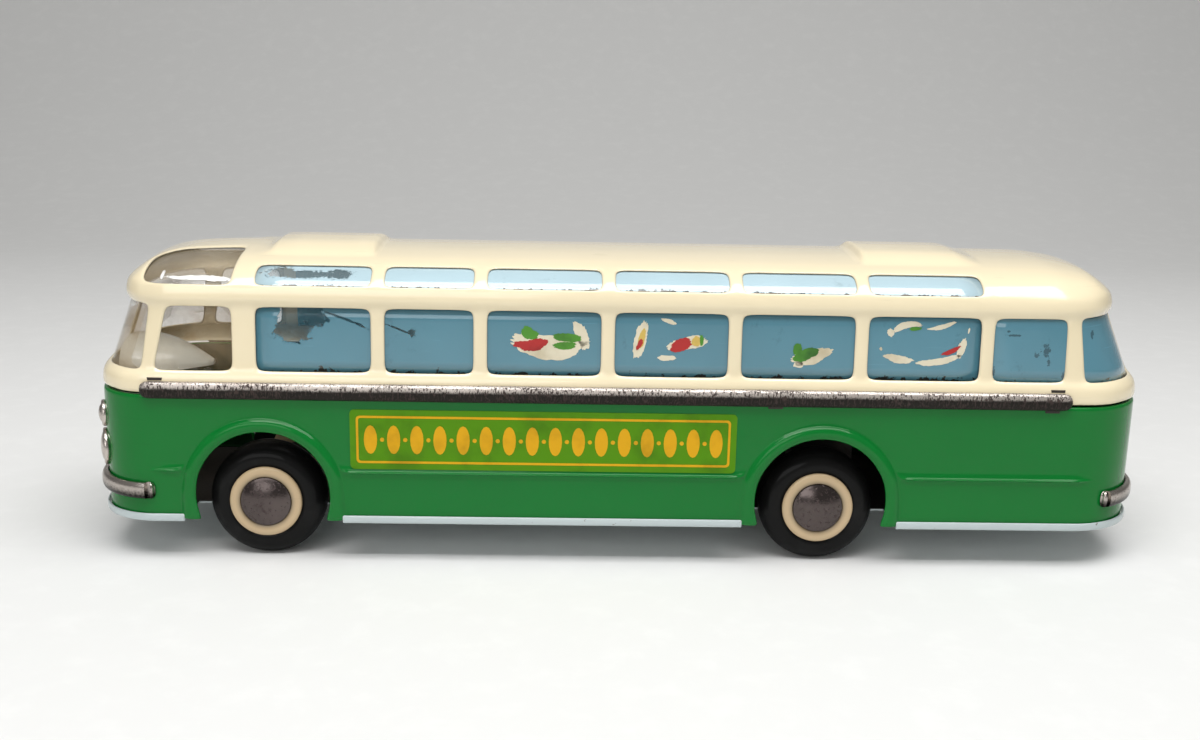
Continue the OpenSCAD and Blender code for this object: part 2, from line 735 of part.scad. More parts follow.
// Clear sheet behind the roof-corner window of the left side
module corner_window() {
    color(CLEAR)
        intersection() {
            difference() {
                loft([for (t = roof_angles) roof_ring(t, glass_out)]);
                translate([0, 0, -slack])
                    loft([for (t = roof_angles) roof_ring(t, glass_in)]);
            }
            corner_window_cut(glazing_lap);
        }
}

// Lamp on the left front corner: a plated dome that stands on the skin
module lamp(d, z) {
    turn = asin((lamp_y - (half_w - front_corner_r)) / front_corner_r);
    centre_x = front_corner_x(floor_z);
    r = d / 2;
    dome_r = (r * r + lamp_proud * lamp_proud) / (2 * lamp_proud);
    color(NICKEL)
        difference() {
            translate([centre_x, half_w - front_corner_r, z])
                rotate([0, 90, turn])
                    translate([0, 0, front_corner_r - lamp_proud])
                        rotate_extrude()
                            intersection() {
                                translate([0, 2 * lamp_proud - dome_r])
                                    circle(dome_r);
                                square([r, 2 * lamp_proud]);
                            }
            translate([0, 0, floor_z])
                linear_extrude(seam_z - floor_z)
                    polygon(outline(floor_z, -slack * 5));
        }
}
module headlamp() {
    lamp(headlamp_d, headlamp_z);
}
module small_lamp() {
    lamp(small_lamp_d, headlamp_z + (headlamp_d + small_lamp_d) / 2 + lamp_gap);
}

// Sign panel on the left side
module sign_panel() {
    mid = (front_axle_x + rear_axle_x) / 2;
    color(LIME)
        across(half_w, half_w + sign_t)
            rounded(mid - sign_l / 2, sign_z, mid + sign_l / 2, sign_z + sign_h, 1.2);
}

// Rounded cowl in the cab, standing on the flange of the upper shell
module cab_cowl() {
    front = front_at(seam_z) - sheet - glazing_gap * 2;
    low_z = seam_z + sheet;
    color(PALE)
        intersection() {
            translate([front - cowl_l, 0, low_z])
                rotate([0, 90, 0])
                    cylinder(h = cowl_l, r1 = cowl_h * 0.45, r2 = cowl_h + 2);
            translate([front - cowl_l, -cowl_w / 2, low_z])
                cube([cowl_l, cowl_w, cowl_h]);
            translate([0, 0, low_z])
                linear_extrude(cowl_h)
                    polygon(outline(low_z + cowl_h, glass_in + cowl_gap));
        }
    color(PALE)
        translate([front - cowl_l / 3, -cowl_w / 2, low_z])
            intersection() {
                cube([cowl_l / 3, cowl_w, sheet]);
                translate([cowl_l / 3 - front, cowl_w / 2, 0])
                    linear_extrude(sheet)
                        polygon(outline(seam_z, sheet + glazing_gap));
            }
}

// Turning pieces are drawn along Z with their outer face at 0, and set on the left side
module on_left(x) {
    translate([x, wheel_face_y, axle_z])
        rotate([-90, 0, 0])
            children();
}

module tyre() {
    s = tyre_shoulder_r;
    side_drop = 0.25;
    color(BLACK)
        rotate_extrude($fn = 96)
            polygon(concat(
                [[seat_r + seat_gap, -side_drop], [rim_r + 0.3, -side_drop], [tyre_r - s, 0]],
                [for (a = [80 : -10 : 0]) [tyre_r - s + s * cos(a), -s + s * sin(a)]],
                [for (a = [0 : -10 : -80]) [tyre_r - s + s * cos(a), s - tyre_w + s * sin(a)]],
                [[tyre_r - s, -tyre_w], [seat_r + seat_gap, -tyre_w]]
            ));
}

module rim() {
    flange_t = 0.8;
    cap_seat = 0.3;
    color(CREAM)
        rotate_extrude($fn = 96)
            polygon([
                [axle_r + seat_gap, -tyre_w], [seat_r, -tyre_w], [seat_r, -0.2], [rim_r, -0.2],
                [rim_r, flange_t - 0.5], [rim_r - 0.5, flange_t], [hubcap_r + seat_gap, flange_t - 0.2],
                [hubcap_r + seat_gap, -cap_seat], [axle_r + seat_gap, -cap_seat]
            ]);
}

module hubcap() {
    base_z = -0.3 + seat_gap;
    dome_r = (hubcap_r * hubcap_r + hubcap_rise * hubcap_rise) / (2 * hubcap_rise);
    color(NICKEL)
        translate([0, 0, base_z])
            rotate_extrude($fn = 96)
                intersection() {
                    translate([0, 0.8 + hubcap_rise - dome_r])
                        circle(dome_r);
                    square([hubcap_r, 0.8 + hubcap_rise]);
                }
}

// Axle from hub to hub
module axle(x) {
    color(STEEL)
        on_left(x)
            translate([0, 0, -2 * wheel_face_y + 0.4])
                cylinder(h = 2 * wheel_face_y - 0.8, r = axle_r);
}

// Bracket that carries the front axle: a foot on the pan and two ears
module front_axle_bracket() {
    ear_w = 4 * axle_r + 2;
    color(STEEL)
        difference() {
            union() {
                translate([front_axle_x - ear_w / 2, -ear_y, floor_z])
                    cube([ear_w, 2 * ear_y, plate_t]);
                for (y = [-ear_y - plate_t, ear_y])
                    across(y, y + plate_t) {
                        translate([front_axle_x - ear_w / 2, floor_z])
                            square([ear_w, axle_z - floor_z]);
                        translate([front_axle_x, axle_z])
                            circle(ear_w / 2);
                    }
            }
            across(-far, far)
                translate([front_axle_x, axle_z])
                    circle(axle_r + bearing_gap);
        }
}

// Flat gear with involute flanks, a tooth pointing along +X
function involute(r, a) = r * [cos(a) + a * PI / 180 * sin(a), sin(a) - a * PI / 180 * cos(a)];
function turned(p, a) = [p[0] * cos(a) - p[1] * sin(a), p[0] * sin(a) + p[1] * cos(a)];
module gear_flat(teeth, tip_r, root_r) {
    pitch_r = gear_module * teeth / 2;
    base_r = pitch_r * cos(20);
    start_r = max(base_r, root_r);
    function roll(r) = sqrt(pow(r / base_r, 2) - 1) * 180 / PI;
    function flank_angle(r) = let (p = involute(base_r, roll(r))) atan2(p[1], p[0]);
    half_tooth = 90 / teeth - backlash / 4 / pitch_r * 180 / PI;
    flank = [for (i = [0 : 5]) let (r = start_r + (tip_r - start_r) * i / 5)
        [r, half_tooth + flank_angle(pitch_r) - flank_angle(r)]];
    root_angle = flank[0][1];
    side = concat([[root_r, root_angle]], root_r < base_r ? flank : [for (i = [1 : 5]) flank[i]]);
    tooth = concat([for (p = side) [p[0], -p[1]]], reversed(side));
    polygon([for (i = [0 : teeth - 1], p = tooth) turned([p[0], 0], p[1] + 360 * i / teeth)]);
}

// Gear or pinion about an axis at [X, Z], bored, with a tooth or a gap towards an angle
module gear(at, y0, y1, bore_r, angle) {
    across(y0, y1)
        translate(at)
            difference() {
                rotate(angle)
                    gear_flat(gear_teeth, gear_tip_r, gear_r - 1.25 * gear_module);
                circle(bore_r);
            }
}
module pinion(at, y0, y1, bore_r, angle) {
    across(y0, y1)
        translate(at)
            difference() {
                rotate(angle)
                    gear_flat(pinion_teeth, pinion_r + gear_module, pinion_r - 0.9 * gear_module);
                circle(bore_r);
            }
}
module rod(at, y0, y1, r) {
    across(y0, y1)
        translate(at)
            circle(r);
}

// Planes of the two gear pairs: the first beside the left plate, the second beside the right
first_y1 = motor_y - 2 * side_gap;
first_y0 = first_y1 - gear_w;
second_y0 = -motor_y + 2 * side_gap;
second_y1 = second_y0 + gear_w;

module drive_gear() {
    color(BRASS)
        gear(axle_at, first_y0, first_y1, axle_r + seat_gap, lay_angle);
}
module lay_pinion() {
    color(BRASS)
        pinion(lay_at, first_y0 - side_gap, first_y1 + side_gap, shaft_r + seat_gap,
            lay_angle + 180 + 180 / pinion_teeth);
}
module lay_gear() {
    color(BRASS)
        gear(lay_at, second_y0, second_y1, shaft_r + seat_gap, arbor_angle);
}
module flywheel_pinion() {
    color(BRASS)
        pinion(arbor_at, second_y0 - side_gap, second_y1 + side_gap, shaft_r + seat_gap,
            arbor_angle + 180 + 180 / pinion_teeth);
}
module lay_shaft() {
    color(STEEL)
        rod(lay_at, -motor_y - plate_t, motor_y + plate_t, shaft_r);
}
flywheel_y = -motor_y - plate_t - 2 * side_gap;
module flywheel_arbor() {
    color(STEEL)
        rod(arbor_at, flywheel_y - flywheel_w - side_gap, motor_y + plate_t, shaft_r);
}
module flywheel() {
    color(STEEL)
        difference() {
            rod(arbor_at, flywheel_y - flywheel_w, flywheel_y, flywheel_r);
            rod(arbor_at, flywheel_y - flywheel_w - far, flywheel_y + far, shaft_r + seat_gap);
            rod(arbor_at, flywheel_y - flywheel_w - far, flywheel_y - flywheel_w * 0.7, flywheel_r * 0.7);
        }
}

// Spacers between the motor plates, as [X, Z]
spacer_r = 1.4;
spacers = [
    [plate_x0 + 2 * spacer_r, plate_top - 2 * spacer_r],
    [plate_x0 + 2 * spacer_r, floor_z + 2 * spacer_r],
    [plate_x1 - 2 * spacer_r, floor_z + 2 * spacer_r]
];
module motor_spacers() {
    color(STEEL)
        for (s = spacers)
            rod(s, -motor_y, motor_y, spacer_r);
}
module motor_plate(y0) {
    color(STEEL)
        across(y0, y0 + plate_t)
            difference() {
                polygon([[plate_x0, floor_z], [plate_x1, floor_z], [plate_x1, plate_top - plate_margin],
                    [plate_x1 - plate_margin, plate_top], [plate_x0, plate_top]]);
                translate(axle_at)
                    circle(axle_r + bearing_gap);
                translate(lay_at)
                    circle(shaft_r + bearing_gap);
                translate(arbor_at)
                    circle(shaft_r + bearing_gap);
            }
}

// Mirror image on the right side
module on_right() {
    mirror([0, 1, 0])
        children();
}

upper_body();
lower_body();
base_pan();
belt_rail();  // left_belt_rail
on_right() belt_rail();  // right_belt_rail
bumper(1);  // front_bumper
bumper(-1);  // rear_bumper
windscreen();
rear_window();
side_windows();  // left_side_windows
on_right() side_windows();  // right_side_windows
roof_glazing();  // left_roof_windows
on_right() roof_glazing();  // right_roof_windows
corner_window();  // left_corner_window
on_right() corner_window();  // right_corner_window
headlamp();  // left_headlamp
on_right() headlamp();  // right_headlamp
small_lamp();  // left_small_lamp
on_right() small_lamp();  // right_small_lamp
sign_panel();  // left_sign_panel
on_right() sign_panel();  // right_sign_panel
cab_cowl();
front_axle_bracket();
axle(front_axle_x);  // front_axle
on_left(front_axle_x) tyre();  // front_left_tyre
on_left(front_axle_x) rim();  // front_left_rim
on_left(front_axle_x) hubcap();  // front_left_hubcap
on_right() on_left(front_axle_x) tyre();  // front_right_tyre
on_right() on_left(front_axle_x) rim();  // front_right_rim
on_right() on_left(front_axle_x) hubcap();  // front_right_hubcap
axle(rear_axle_x);  // rear_axle
on_left(rear_axle_x) tyre();  // rear_left_tyre
on_left(rear_axle_x) rim();  // rear_left_rim
on_left(rear_axle_x) hubcap();  // rear_left_hubcap
on_right() on_left(rear_axle_x) tyre();  // rear_right_tyre
on_right() on_left(rear_axle_x) rim();  // rear_right_rim
on_right() on_left(rear_axle_x) hubcap();  // rear_right_hubcap
motor_plate(motor_y);  // left_motor_plate
motor_plate(-motor_y - plate_t);  // right_motor_plate
motor_spacers();
drive_gear();
lay_shaft();
lay_pinion();
lay_gear();
flywheel_arbor();
flywheel_pinion();
flywheel();
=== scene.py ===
"""Looks of the pressed-tin toy coach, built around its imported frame.

All sizes in the shape functions are millimetres in the frame of the part: +X to the front,
+Y to the left side, +Z up, standing on z = 0. Meshes are made in metres.
"""

import math
import random

import bmesh
import bpy
from mathutils import Matrix, Vector


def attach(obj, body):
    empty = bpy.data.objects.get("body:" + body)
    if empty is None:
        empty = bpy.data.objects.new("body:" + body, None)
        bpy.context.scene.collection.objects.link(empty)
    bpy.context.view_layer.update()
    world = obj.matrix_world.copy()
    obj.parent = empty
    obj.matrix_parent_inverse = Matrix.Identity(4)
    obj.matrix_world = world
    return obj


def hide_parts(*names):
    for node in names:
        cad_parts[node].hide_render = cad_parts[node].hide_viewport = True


bl_info = {
    "name": "Tin Coach",
    "version": (1, 0, 0),
    "blender": (4, 5, 0),
    "location": "View3D > Sidebar > Coach",
    "description": "Dresses the packed toy coach: shells, celluloid, plated trim, wheels and stage",
    "category": "Object",
}

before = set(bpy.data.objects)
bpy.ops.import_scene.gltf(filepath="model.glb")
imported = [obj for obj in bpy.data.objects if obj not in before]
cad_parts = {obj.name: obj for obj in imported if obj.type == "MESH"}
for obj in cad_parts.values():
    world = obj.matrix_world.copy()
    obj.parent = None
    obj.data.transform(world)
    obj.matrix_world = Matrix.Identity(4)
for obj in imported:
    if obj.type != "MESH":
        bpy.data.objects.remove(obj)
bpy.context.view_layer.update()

MM = 0.001
BODY, FRONT_WHEELS, REAR_WHEELS = "coach_body", "front_wheels", "rear_wheels"

# Section of the body
HALF_L, HALF_W, BOW = 138.3, 32.0, 110.0
FRONT_R, REAR_R = 16.0, 20.0
FLOOR_Z, SEAM_Z, SILL_Z, HEAD_Z, BROW_Z, ROOF_Z = 11.0, 44.0, 50.2, 66.2, 68.4, 70.0
LEDGE_LOW_Z, LEDGE_TOP_Z, BAND_TOP_Z = 46.2, 50.05, 66.35
SIDE_LEDGE, SIDE_LEAN = 1.35, 1.05
END_LEDGE, FRONT_LEAN, REAR_LEAN = 2.1, 5.8, 6.9
BROW_PROUD, BROW_STEP, BROW_TOP = 0.8, (0.45, 0.55), 0.7
ROOF_RISE, FULLNESS = 8.9, 2 / 2.25
CROWN_Z = ROOF_Z + ROOF_RISE
FRONT_DOME, REAR_DOME = 28.0, 25.0
ROOF_SILL_Z = 72.0
HATCH_RISE, HATCH_HALF_W = 1.9, 17.0
HATCH_CAMBER = ((0.0, 3.4), (4.0, 0.9), (9.0, 0.3), (17.0, 0.0))
LEDGE_STEPS = ((0, 0), (0.3, 0.02), (0.6, 0.2), (0.85, 0.55), (1, 1))

# Side windows: front and rear edge of each, from front to rear
CAB_REAR = 100.2
WINDOWS = (
    (94.1, 65.32), (61.72, 39.42), (35.82, 7.04), (3.44, -25.34),
    (-28.94, -57.72), (-61.32, -90.1), (-93.7, -112.4),
)
CORNER_SUPPORT = 3.4
FRONT_AXLE_X, REAR_AXLE_X, AXLE_Z = 93.2, -50.8, 15.0
AXLES_X = (FRONT_AXLE_X, REAR_AXLE_X)
ARCH_Z, ARCH_BLOCK, ARCH_BLOCK_TOP = 17.5, 24.0, 40.6
RAIL_Z, RAIL_FRONT, RAIL_REAR = 45.3, 123.2, -114.4
SIGN_MID, SIGN_L, SIGN_LOW, SIGN_H = 21.2, 99.0, 25.0, 15.8
WHEEL_FACE_Y = 29.2
SIDES = ((1, "left"), (-1, "right"))


def between(table, at):
    """Value of a rising table of (place, value) at a place, held flat past its ends."""
    if at <= table[0][0]:
        return table[0][1]
    for (a, va), (b, vb) in zip(table, table[1:]):
        if at <= b:
            return va + (vb - va) * (at - a) / (b - a)
    return table[-1][1]


def section_table(ledge, lean):
    rise = LEDGE_TOP_Z - LEDGE_LOW_Z
    brow_low = BAND_TOP_Z + (BROW_Z - BAND_TOP_Z) * BROW_STEP[0]
    return [(SEAM_Z, 0.0)] + [(LEDGE_LOW_Z + s * rise, k * ledge) for s, k in LEDGE_STEPS] + [
        (BAND_TOP_Z, ledge + lean), (brow_low, ledge + lean - BROW_STEP[1] * BROW_PROUD),
        (BROW_Z, ledge + lean - BROW_PROUD), (ROOF_Z, ledge + lean - BROW_TOP * BROW_PROUD),
    ]


SIDE_TABLE = section_table(SIDE_LEDGE, SIDE_LEAN)
FRONT_TABLE = section_table(END_LEDGE, FRONT_LEAN)
REAR_TABLE = section_table(END_LEDGE, REAR_LEAN)


class Plan:
    """Outline of the body seen from above, for given insets of its sides, front and rear."""

    def __init__(self, side_in, front_in, rear_in, depth=0.0):
        self.w = HALF_W - side_in - depth
        self.ends = {}
        for end, inset, r in ((1, front_in, FRONT_R), (-1, rear_in, REAR_R)):
            radius, bow = r - depth, BOW - depth
            tip = HALF_L - inset - depth
            a = math.asin((self.w - radius) / (bow - radius))
            cx = tip - bow + (bow - radius) * math.cos(a)
            self.ends[end] = (cx, self.w - radius, radius, bow, tip, a)

    def side_y(self, x):
        """Half width at x, round the corners and on the bowed ends too."""
        cx, cy, r, bow, tip, a = self.ends[1 if x > 0 else -1]
        d = abs(x) - cx
        if d <= 0:
            return self.w
        if d <= r * math.cos(a):
            return cy + math.sqrt(max(r * r - d * d, 0.0))
        return math.sqrt(max(bow * bow - (abs(x) - tip + bow) ** 2, 0.0)) if abs(x) < tip else -1.0

    def corner(self, end, degrees):
        """Point on a corner, so many degrees on from the side."""
        cx, cy, r = self.ends[end][:3]
        t = math.radians(degrees)
        return end * (cx + r * math.sin(t)), cy + r * math.cos(t)

    def end_x(self, end, y):
        """X of the bowed end or its corner at a distance from the middle line."""
        cx, cy, r, bow, tip, a = self.ends[end]
        if y > bow * math.sin(a):
            return end * (cx + math.sqrt(max(r * r - (y - cy) ** 2, 0.0)))
        return end * (tip - bow + math.sqrt(bow * bow - y * y))

    def end_path(self, end, side_x=None, last=0.0, corner_n=12, bow_n=8):
        """Points round one end from the left to the right, from a corner angle or from side_x."""
        bow, tip, a = self.ends[end][3:]
        half = [(end * (tip - bow + bow * math.cos(a * i / bow_n)), bow * math.sin(a * i / bow_n))
                for i in range(bow_n + 1)]
        top = 90 - math.degrees(a)
        turns = [top + (last - top) * i / corner_n for i in range(1, corner_n + 1)]
        half += [self.corner(end, turn) for turn in turns]
        if side_x is not None:
            x = half[-1][0]
            half += [(x + (side_x - x) * i / 3, self.w) for i in range(1, 4)]
        return half[::-1] + [(x, -y) for x, y in half[1:]]


def plan_at(z, depth=0.0):
    return Plan(between(SIDE_TABLE, z), between(FRONT_TABLE, z), between(REAR_TABLE, z), depth)


def glass_plan(z, depth):
    """Outline in the plane of the window band, carried on straight past its edges."""
    k = (z - LEDGE_TOP_Z) / (BAND_TOP_Z - LEDGE_TOP_Z)
    return Plan(SIDE_LEDGE + SIDE_LEAN * k, END_LEDGE + FRONT_LEAN * k, END_LEDGE + REAR_LEAN * k,
                depth)


ROOF_PLAN = plan_at(ROOF_Z)
SPINE_FRONT = ROOF_PLAN.ends[1][4] - FRONT_DOME
SPINE_REAR = REAR_DOME - ROOF_PLAN.ends[-1][4]


def spread_of(z):
    """How far the roof has drawn in at a height, from 1 at its foot to 0 at its crown."""
    t = math.asin(min(max((z - ROOF_Z) / ROOF_RISE, 0.0), 1.0) ** (1 / FULLNESS))
    return math.cos(t) ** FULLNESS


def shrink(x, y, s):
    spine = min(max(x, SPINE_REAR), SPINE_FRONT)
    return spine + (x - spine) * s, y * s


def roof_height(x, y):
    """Height of the plain roof over a point of the plan."""
    spine = min(max(x, SPINE_REAR), SPINE_FRONT)
    low, high = 0.0, 1.0
    for _ in range(40):
        s = (low + high) / 2
        if s > 0 and abs(y) / s <= ROOF_PLAN.side_y(spine + (x - spine) / s):
            high = s
        else:
            low = s
    t = math.acos(min(high ** (1 / FULLNESS), 1.0))
    return ROOF_Z + ROOF_RISE * math.sin(t) ** FULLNESS


def hatch_height(y):
    return CROWN_Z + HATCH_RISE - between(HATCH_CAMBER, HATCH_HALF_W - abs(y))


# Meshes and modifiers

def link(name, mesh):
    """Object for a finished mesh."""
    piece = bpy.data.objects.new(name, mesh)
    bpy.context.scene.collection.objects.link(piece)
    return piece


def new_piece(name, points, faces, material, smooth=True, scale=MM):
    """Mesh object from points and faces; the points are in millimetres unless scale says else."""
    mesh = bpy.data.meshes.new(name)
    mesh.from_pydata([tuple(c * scale for c in p) for p in points], [], faces)
    mesh.validate()
    mesh.polygons.foreach_set("use_smooth", [smooth] * len(mesh.polygons))
    mesh.materials.append(material)
    return link(name, mesh)


def solidify(piece, thickness, inside=None):
    """Gives a sheet its thickness, inwards; inside is the finish of its inner face."""
    wall = piece.modifiers.new("wall", "SOLIDIFY")
    wall.thickness, wall.offset = thickness * MM, -1.0
    wall.use_even_offset = True
    if inside is not None:
        piece.data.materials.append(inside)
        wall.material_offset = 1


def subdivide(piece, levels):
    """Smooths a cage with a live subdivision surface."""
    smooth = piece.modifiers.new("smooth", "SUBSURF")
    smooth.levels = smooth.render_levels = levels


def mark(piece, name, values):
    """Puts a value for each vertex on a piece, for its material to read."""
    layer = piece.data.attributes.new(name, "FLOAT", "POINT")
    layer.data.foreach_set("value", values)


def settle(piece, body, slot, *nodes):
    """The piece rides on a body and stands for CAD nodes, which it hides; slot is not used."""
    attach(piece, body)
    if nodes:
        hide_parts(*nodes)


SAME_POINT = 1e-6


def grid_faces(rows, columns, ring=False):
    """Quads of a grid of points that is listed row by row."""
    faces = []
    for low in range(0, (rows - 1) * columns, columns):
        for c in range(columns if ring else columns - 1):
            d = (c + 1) % columns
            faces.append((low + c, low + d, low + columns + d, low + columns + c))
    return faces


def lathe(name, profile, material, segments, at, side, axis=(0, 1, 0)):
    """Turned piece: a profile of (radius, place along the axis), outwards from the coach."""
    points = []
    turn = Vector((0, 0, 1)).rotation_difference(Vector(axis)).to_matrix()
    for r, h in profile:
        for i in range(segments):
            a = 2 * math.pi * i / segments
            p = turn @ Vector((r * math.cos(a), r * math.sin(a), h))
            points.append(tuple((Vector(at) + Vector((p.x, side * p.y, p.z))) * MM))
    mesh = bpy.data.meshes.new(name)
    mesh.from_pydata(points, [], grid_faces(len(profile), segments, ring=True))
    mesh.materials.append(material)
    bm = bmesh.new()
    bm.from_mesh(mesh)
    bmesh.ops.remove_doubles(bm, verts=bm.verts, dist=SAME_POINT)
    bmesh.ops.holes_fill(bm, edges=bm.edges, sides=0)
    bmesh.ops.recalc_face_normals(bm, faces=bm.faces)
    for f in bm.faces:
        f.smooth = True
    bm.to_mesh(mesh)
    bm.free()
    return link(name, mesh)


# Shader parts

def node(tree, kind, place=(0, 0), **values):
    """New node; a value whose name starts with _ goes to the input of that name."""
    made = tree.nodes.new(kind)
    made.location = place
    for key, value in values.items():
        if key.startswith("_"):
            made.inputs[key[1:].replace("_", " ")].default_value = value
        else:
            setattr(made, key, value)
    return made


def feed(tree, socket, value):
    """Links a socket to another one, or gives it a number or a colour."""
    if isinstance(value, bpy.types.NodeSocket):
        tree.links.new(value, socket)
    elif isinstance(value, (int, float)):
        socket.default_value = value
    else:
        socket.default_value = tuple(value)[:3] + (1.0,)


def math_node(tree, operation, a, b=None, clamp=False):
    made = node(tree, "ShaderNodeMath", operation=operation, use_clamp=clamp)
    for socket, value in zip(made.inputs, (a, b)):
        if value is not None:
            feed(tree, socket, value)
    return made.outputs[0]


def times(tree, a, b):
    return math_node(tree, "MULTIPLY", a, b)


def plus(tree, a, b, clamp=False):
    return math_node(tree, "ADD", a, b, clamp)


def noise(tree, vector, scale, detail=4.0, roughness=0.6, distortion=0.0):
    made = node(tree, "ShaderNodeTexNoise", _Scale=scale, _Detail=detail, _Roughness=roughness,
                _Distortion=distortion)
    tree.links.new(vector, made.inputs["Vector"])
    return made.outputs["Fac"]


def scaled(tree, vector, size):
    """A vector times the number of another socket."""
    made = node(tree, "ShaderNodeVectorMath", operation="SCALE")
    tree.links.new(vector, made.inputs[0])
    tree.links.new(size, made.inputs["Scale"])
    return made.outputs[0]


def step(tree, value, low, high, to_low=0.0, to_high=1.0):
    """Smooth step of a value from low to high."""
    made = node(tree, "ShaderNodeMapRange", interpolation_type="SMOOTHSTEP")
    numbers = {"Value": value, "From Min": low, "From Max": high, "To Min": to_low,
               "To Max": to_high}
    for name, number in numbers.items():
        feed(tree, made.inputs[name], number)
    return made.outputs["Result"]


def mix(tree, factor, a, b):
    """Colour mix; a and b are colours or sockets."""
    made = node(tree, "ShaderNodeMix", data_type="RGBA")
    sockets = [s for s in made.inputs if s.type == "RGBA"]
    for socket, value in ((made.inputs["Factor"], factor), (sockets[0], a), (sockets[1], b)):
        feed(tree, socket, value)
    return [s for s in made.outputs if s.type == "RGBA"][0]


VALUE = "NodeSocketFloat"


def group(name, values, outputs):
    """Empty shader group that takes a vector and named values and gives named values."""
    tree = bpy.data.node_groups.new(name, "ShaderNodeTree")
    face = tree.interface
    face.new_socket("Vector", in_out="INPUT", socket_type="NodeSocketVector")
    for label, default in values.items():
        face.new_socket(label, in_out="INPUT", socket_type=VALUE).default_value = default
    for label in outputs:
        face.new_socket(label, in_out="OUTPUT", socket_type=VALUE)
    return tree, node(tree, "NodeGroupInput", (-900, 0)), node(tree, "NodeGroupOutput", (900, 0))


# Chips: pull of worn edges and of clumps, the level that chips need, how far the amount lowers it,
# and the softness of their edge
CHIP_EDGE, CHIP_CLUMP, CHIP_LEVEL, CHIP_LOWER, CHIP_SOFT = 0.29, 0.25, 1.12, 0.4, 0.03
SCRATCH_STRETCH, SCRATCH_TURN, SCRATCH_STEP = (60.0, 60.0, 1400.0), (0.0, 0.15, 0.0), (0.7, 0.74)


def paint_age_group():
    """Ageing of stoved paint: chips, slow colour drift, fine orange peel and hairline scratches."""
    tree, source, out = group("paint age", {"Chip Size": 300.0, "Chip Amount": 0.3, "Edge": 0.0},
                              ("Chips", "Drift", "Peel", "Scratches"))
    v = source.outputs["Vector"]
    grain = noise(tree, scaled(tree, v, source.outputs["Chip Size"]), 1.0, 5.0, 0.65)
    clump = noise(tree, v, 45.0, 3.0)
    reach = times(tree, source.outputs["Edge"], CHIP_EDGE)
    level = plus(tree, grain, reach)
    level = plus(tree, level, times(tree, clump, CHIP_CLUMP))
    lower = times(tree, source.outputs["Chip Amount"], CHIP_LOWER)
    low = math_node(tree, "SUBTRACT", CHIP_LEVEL, lower)
    high = plus(tree, low, CHIP_SOFT)
    tree.links.new(step(tree, level, low, high), out.inputs["Chips"])
    tree.links.new(noise(tree, v, 22.0, 3.0), out.inputs["Drift"])
    tree.links.new(noise(tree, v, 900.0, 2.0), out.inputs["Peel"])
    stretched = node(tree, "ShaderNodeMapping", _Scale=SCRATCH_STRETCH, _Rotation=SCRATCH_TURN)
    tree.links.new(v, stretched.inputs["Vector"])
    line = noise(tree, stretched.outputs[0], 1.0, 2.0)
    tree.links.new(step(tree, line, *SCRATCH_STEP), out.inputs["Scratches"])
    return tree


# Plate: pull of clouds on the pits, softness of their edge, and where tarnish starts and is full
PIT_CLOUD, PIT_SOFT, TARNISH_STEP = 0.3, 0.1, (0.35, 0.7)
DIRT_STEP = (0.45, 0.75)


def plate_wear_group():
    """Wear of plated tin: dark pits, drawn upright by Streak, cloudy tarnish and a height."""
    tree, source, out = group("plate wear", {"Pit Size": 1500.0, "Pit Level": 0.66, "Streak": 1.0},
                              ("Pits", "Tarnish", "Height"))
    v = source.outputs["Vector"]
    upright = node(tree, "ShaderNodeCombineXYZ", _X=1.0, _Y=1.0)
    tree.links.new(source.outputs["Streak"], upright.inputs["Z"])
    drawn = node(tree, "ShaderNodeVectorMath", operation="MULTIPLY")
    tree.links.new(v, drawn.inputs[0])
    tree.links.new(upright.outputs[0], drawn.inputs[1])
    speck = noise(tree, scaled(tree, drawn.outputs[0], source.outputs["Pit Size"]), 1.0, 3.0, 0.7)
    cloud = noise(tree, v, 60.0, 4.0)
    level = plus(tree, speck, times(tree, cloud, PIT_CLOUD))
    low = source.outputs["Pit Level"]
    pits = step(tree, level, low, plus(tree, low, PIT_SOFT))
    tree.links.new(pits, out.inputs["Pits"])
    tree.links.new(step(tree, cloud, *TARNISH_STEP), out.inputs["Tarnish"])
    tree.links.new(math_node(tree, "SUBTRACT", speck, pits), out.inputs["Height"])
    return tree


def grain_group():
    """Fine grain of bare moulded or turned surfaces: a grain height and slow dirt."""
    tree, source, out = group("surface grain", {"Grain Size": 1200.0}, ("Grain", "Dirt"))
    v = source.outputs["Vector"]
    grain = noise(tree, scaled(tree, v, source.outputs["Grain Size"]), 1.0, 3.0)
    tree.links.new(grain, out.inputs["Grain"])
    tree.links.new(step(tree, noise(tree, v, 90.0, 4.0), *DIRT_STEP), out.inputs["Dirt"])
    return tree


GROUP_MAKERS = {
    "paint age": paint_age_group,
    "plate wear": plate_wear_group,
    "surface grain": grain_group,
}
GROUPS = {}
COAT_ROUGHNESS = 0.06


def shared(name):
    """The shader group of that name, built once."""
    if name not in GROUPS:
        GROUPS[name] = GROUP_MAKERS[name]()
    return GROUPS[name]


def start_material(name, roughness=0.3, metallic=0.0, coat=0.0, specular=0.5):
    """New material: its tree, its Principled shader and the object coordinates."""
    material = bpy.data.materials.new(name)
    material.use_nodes = True
    tree = material.node_tree
    shader = tree.nodes["Principled BSDF"]
    for label, value in (("Roughness", roughness), ("Metallic", metallic), ("Coat Weight", coat),
                         ("Coat Roughness", COAT_ROUGHNESS), ("Specular IOR Level", specular)):
        shader.inputs[label].default_value = value
    place = node(tree, "ShaderNodeTexCoord", (-1400, 0)).outputs["Object"]
    return material, tree, shader, place


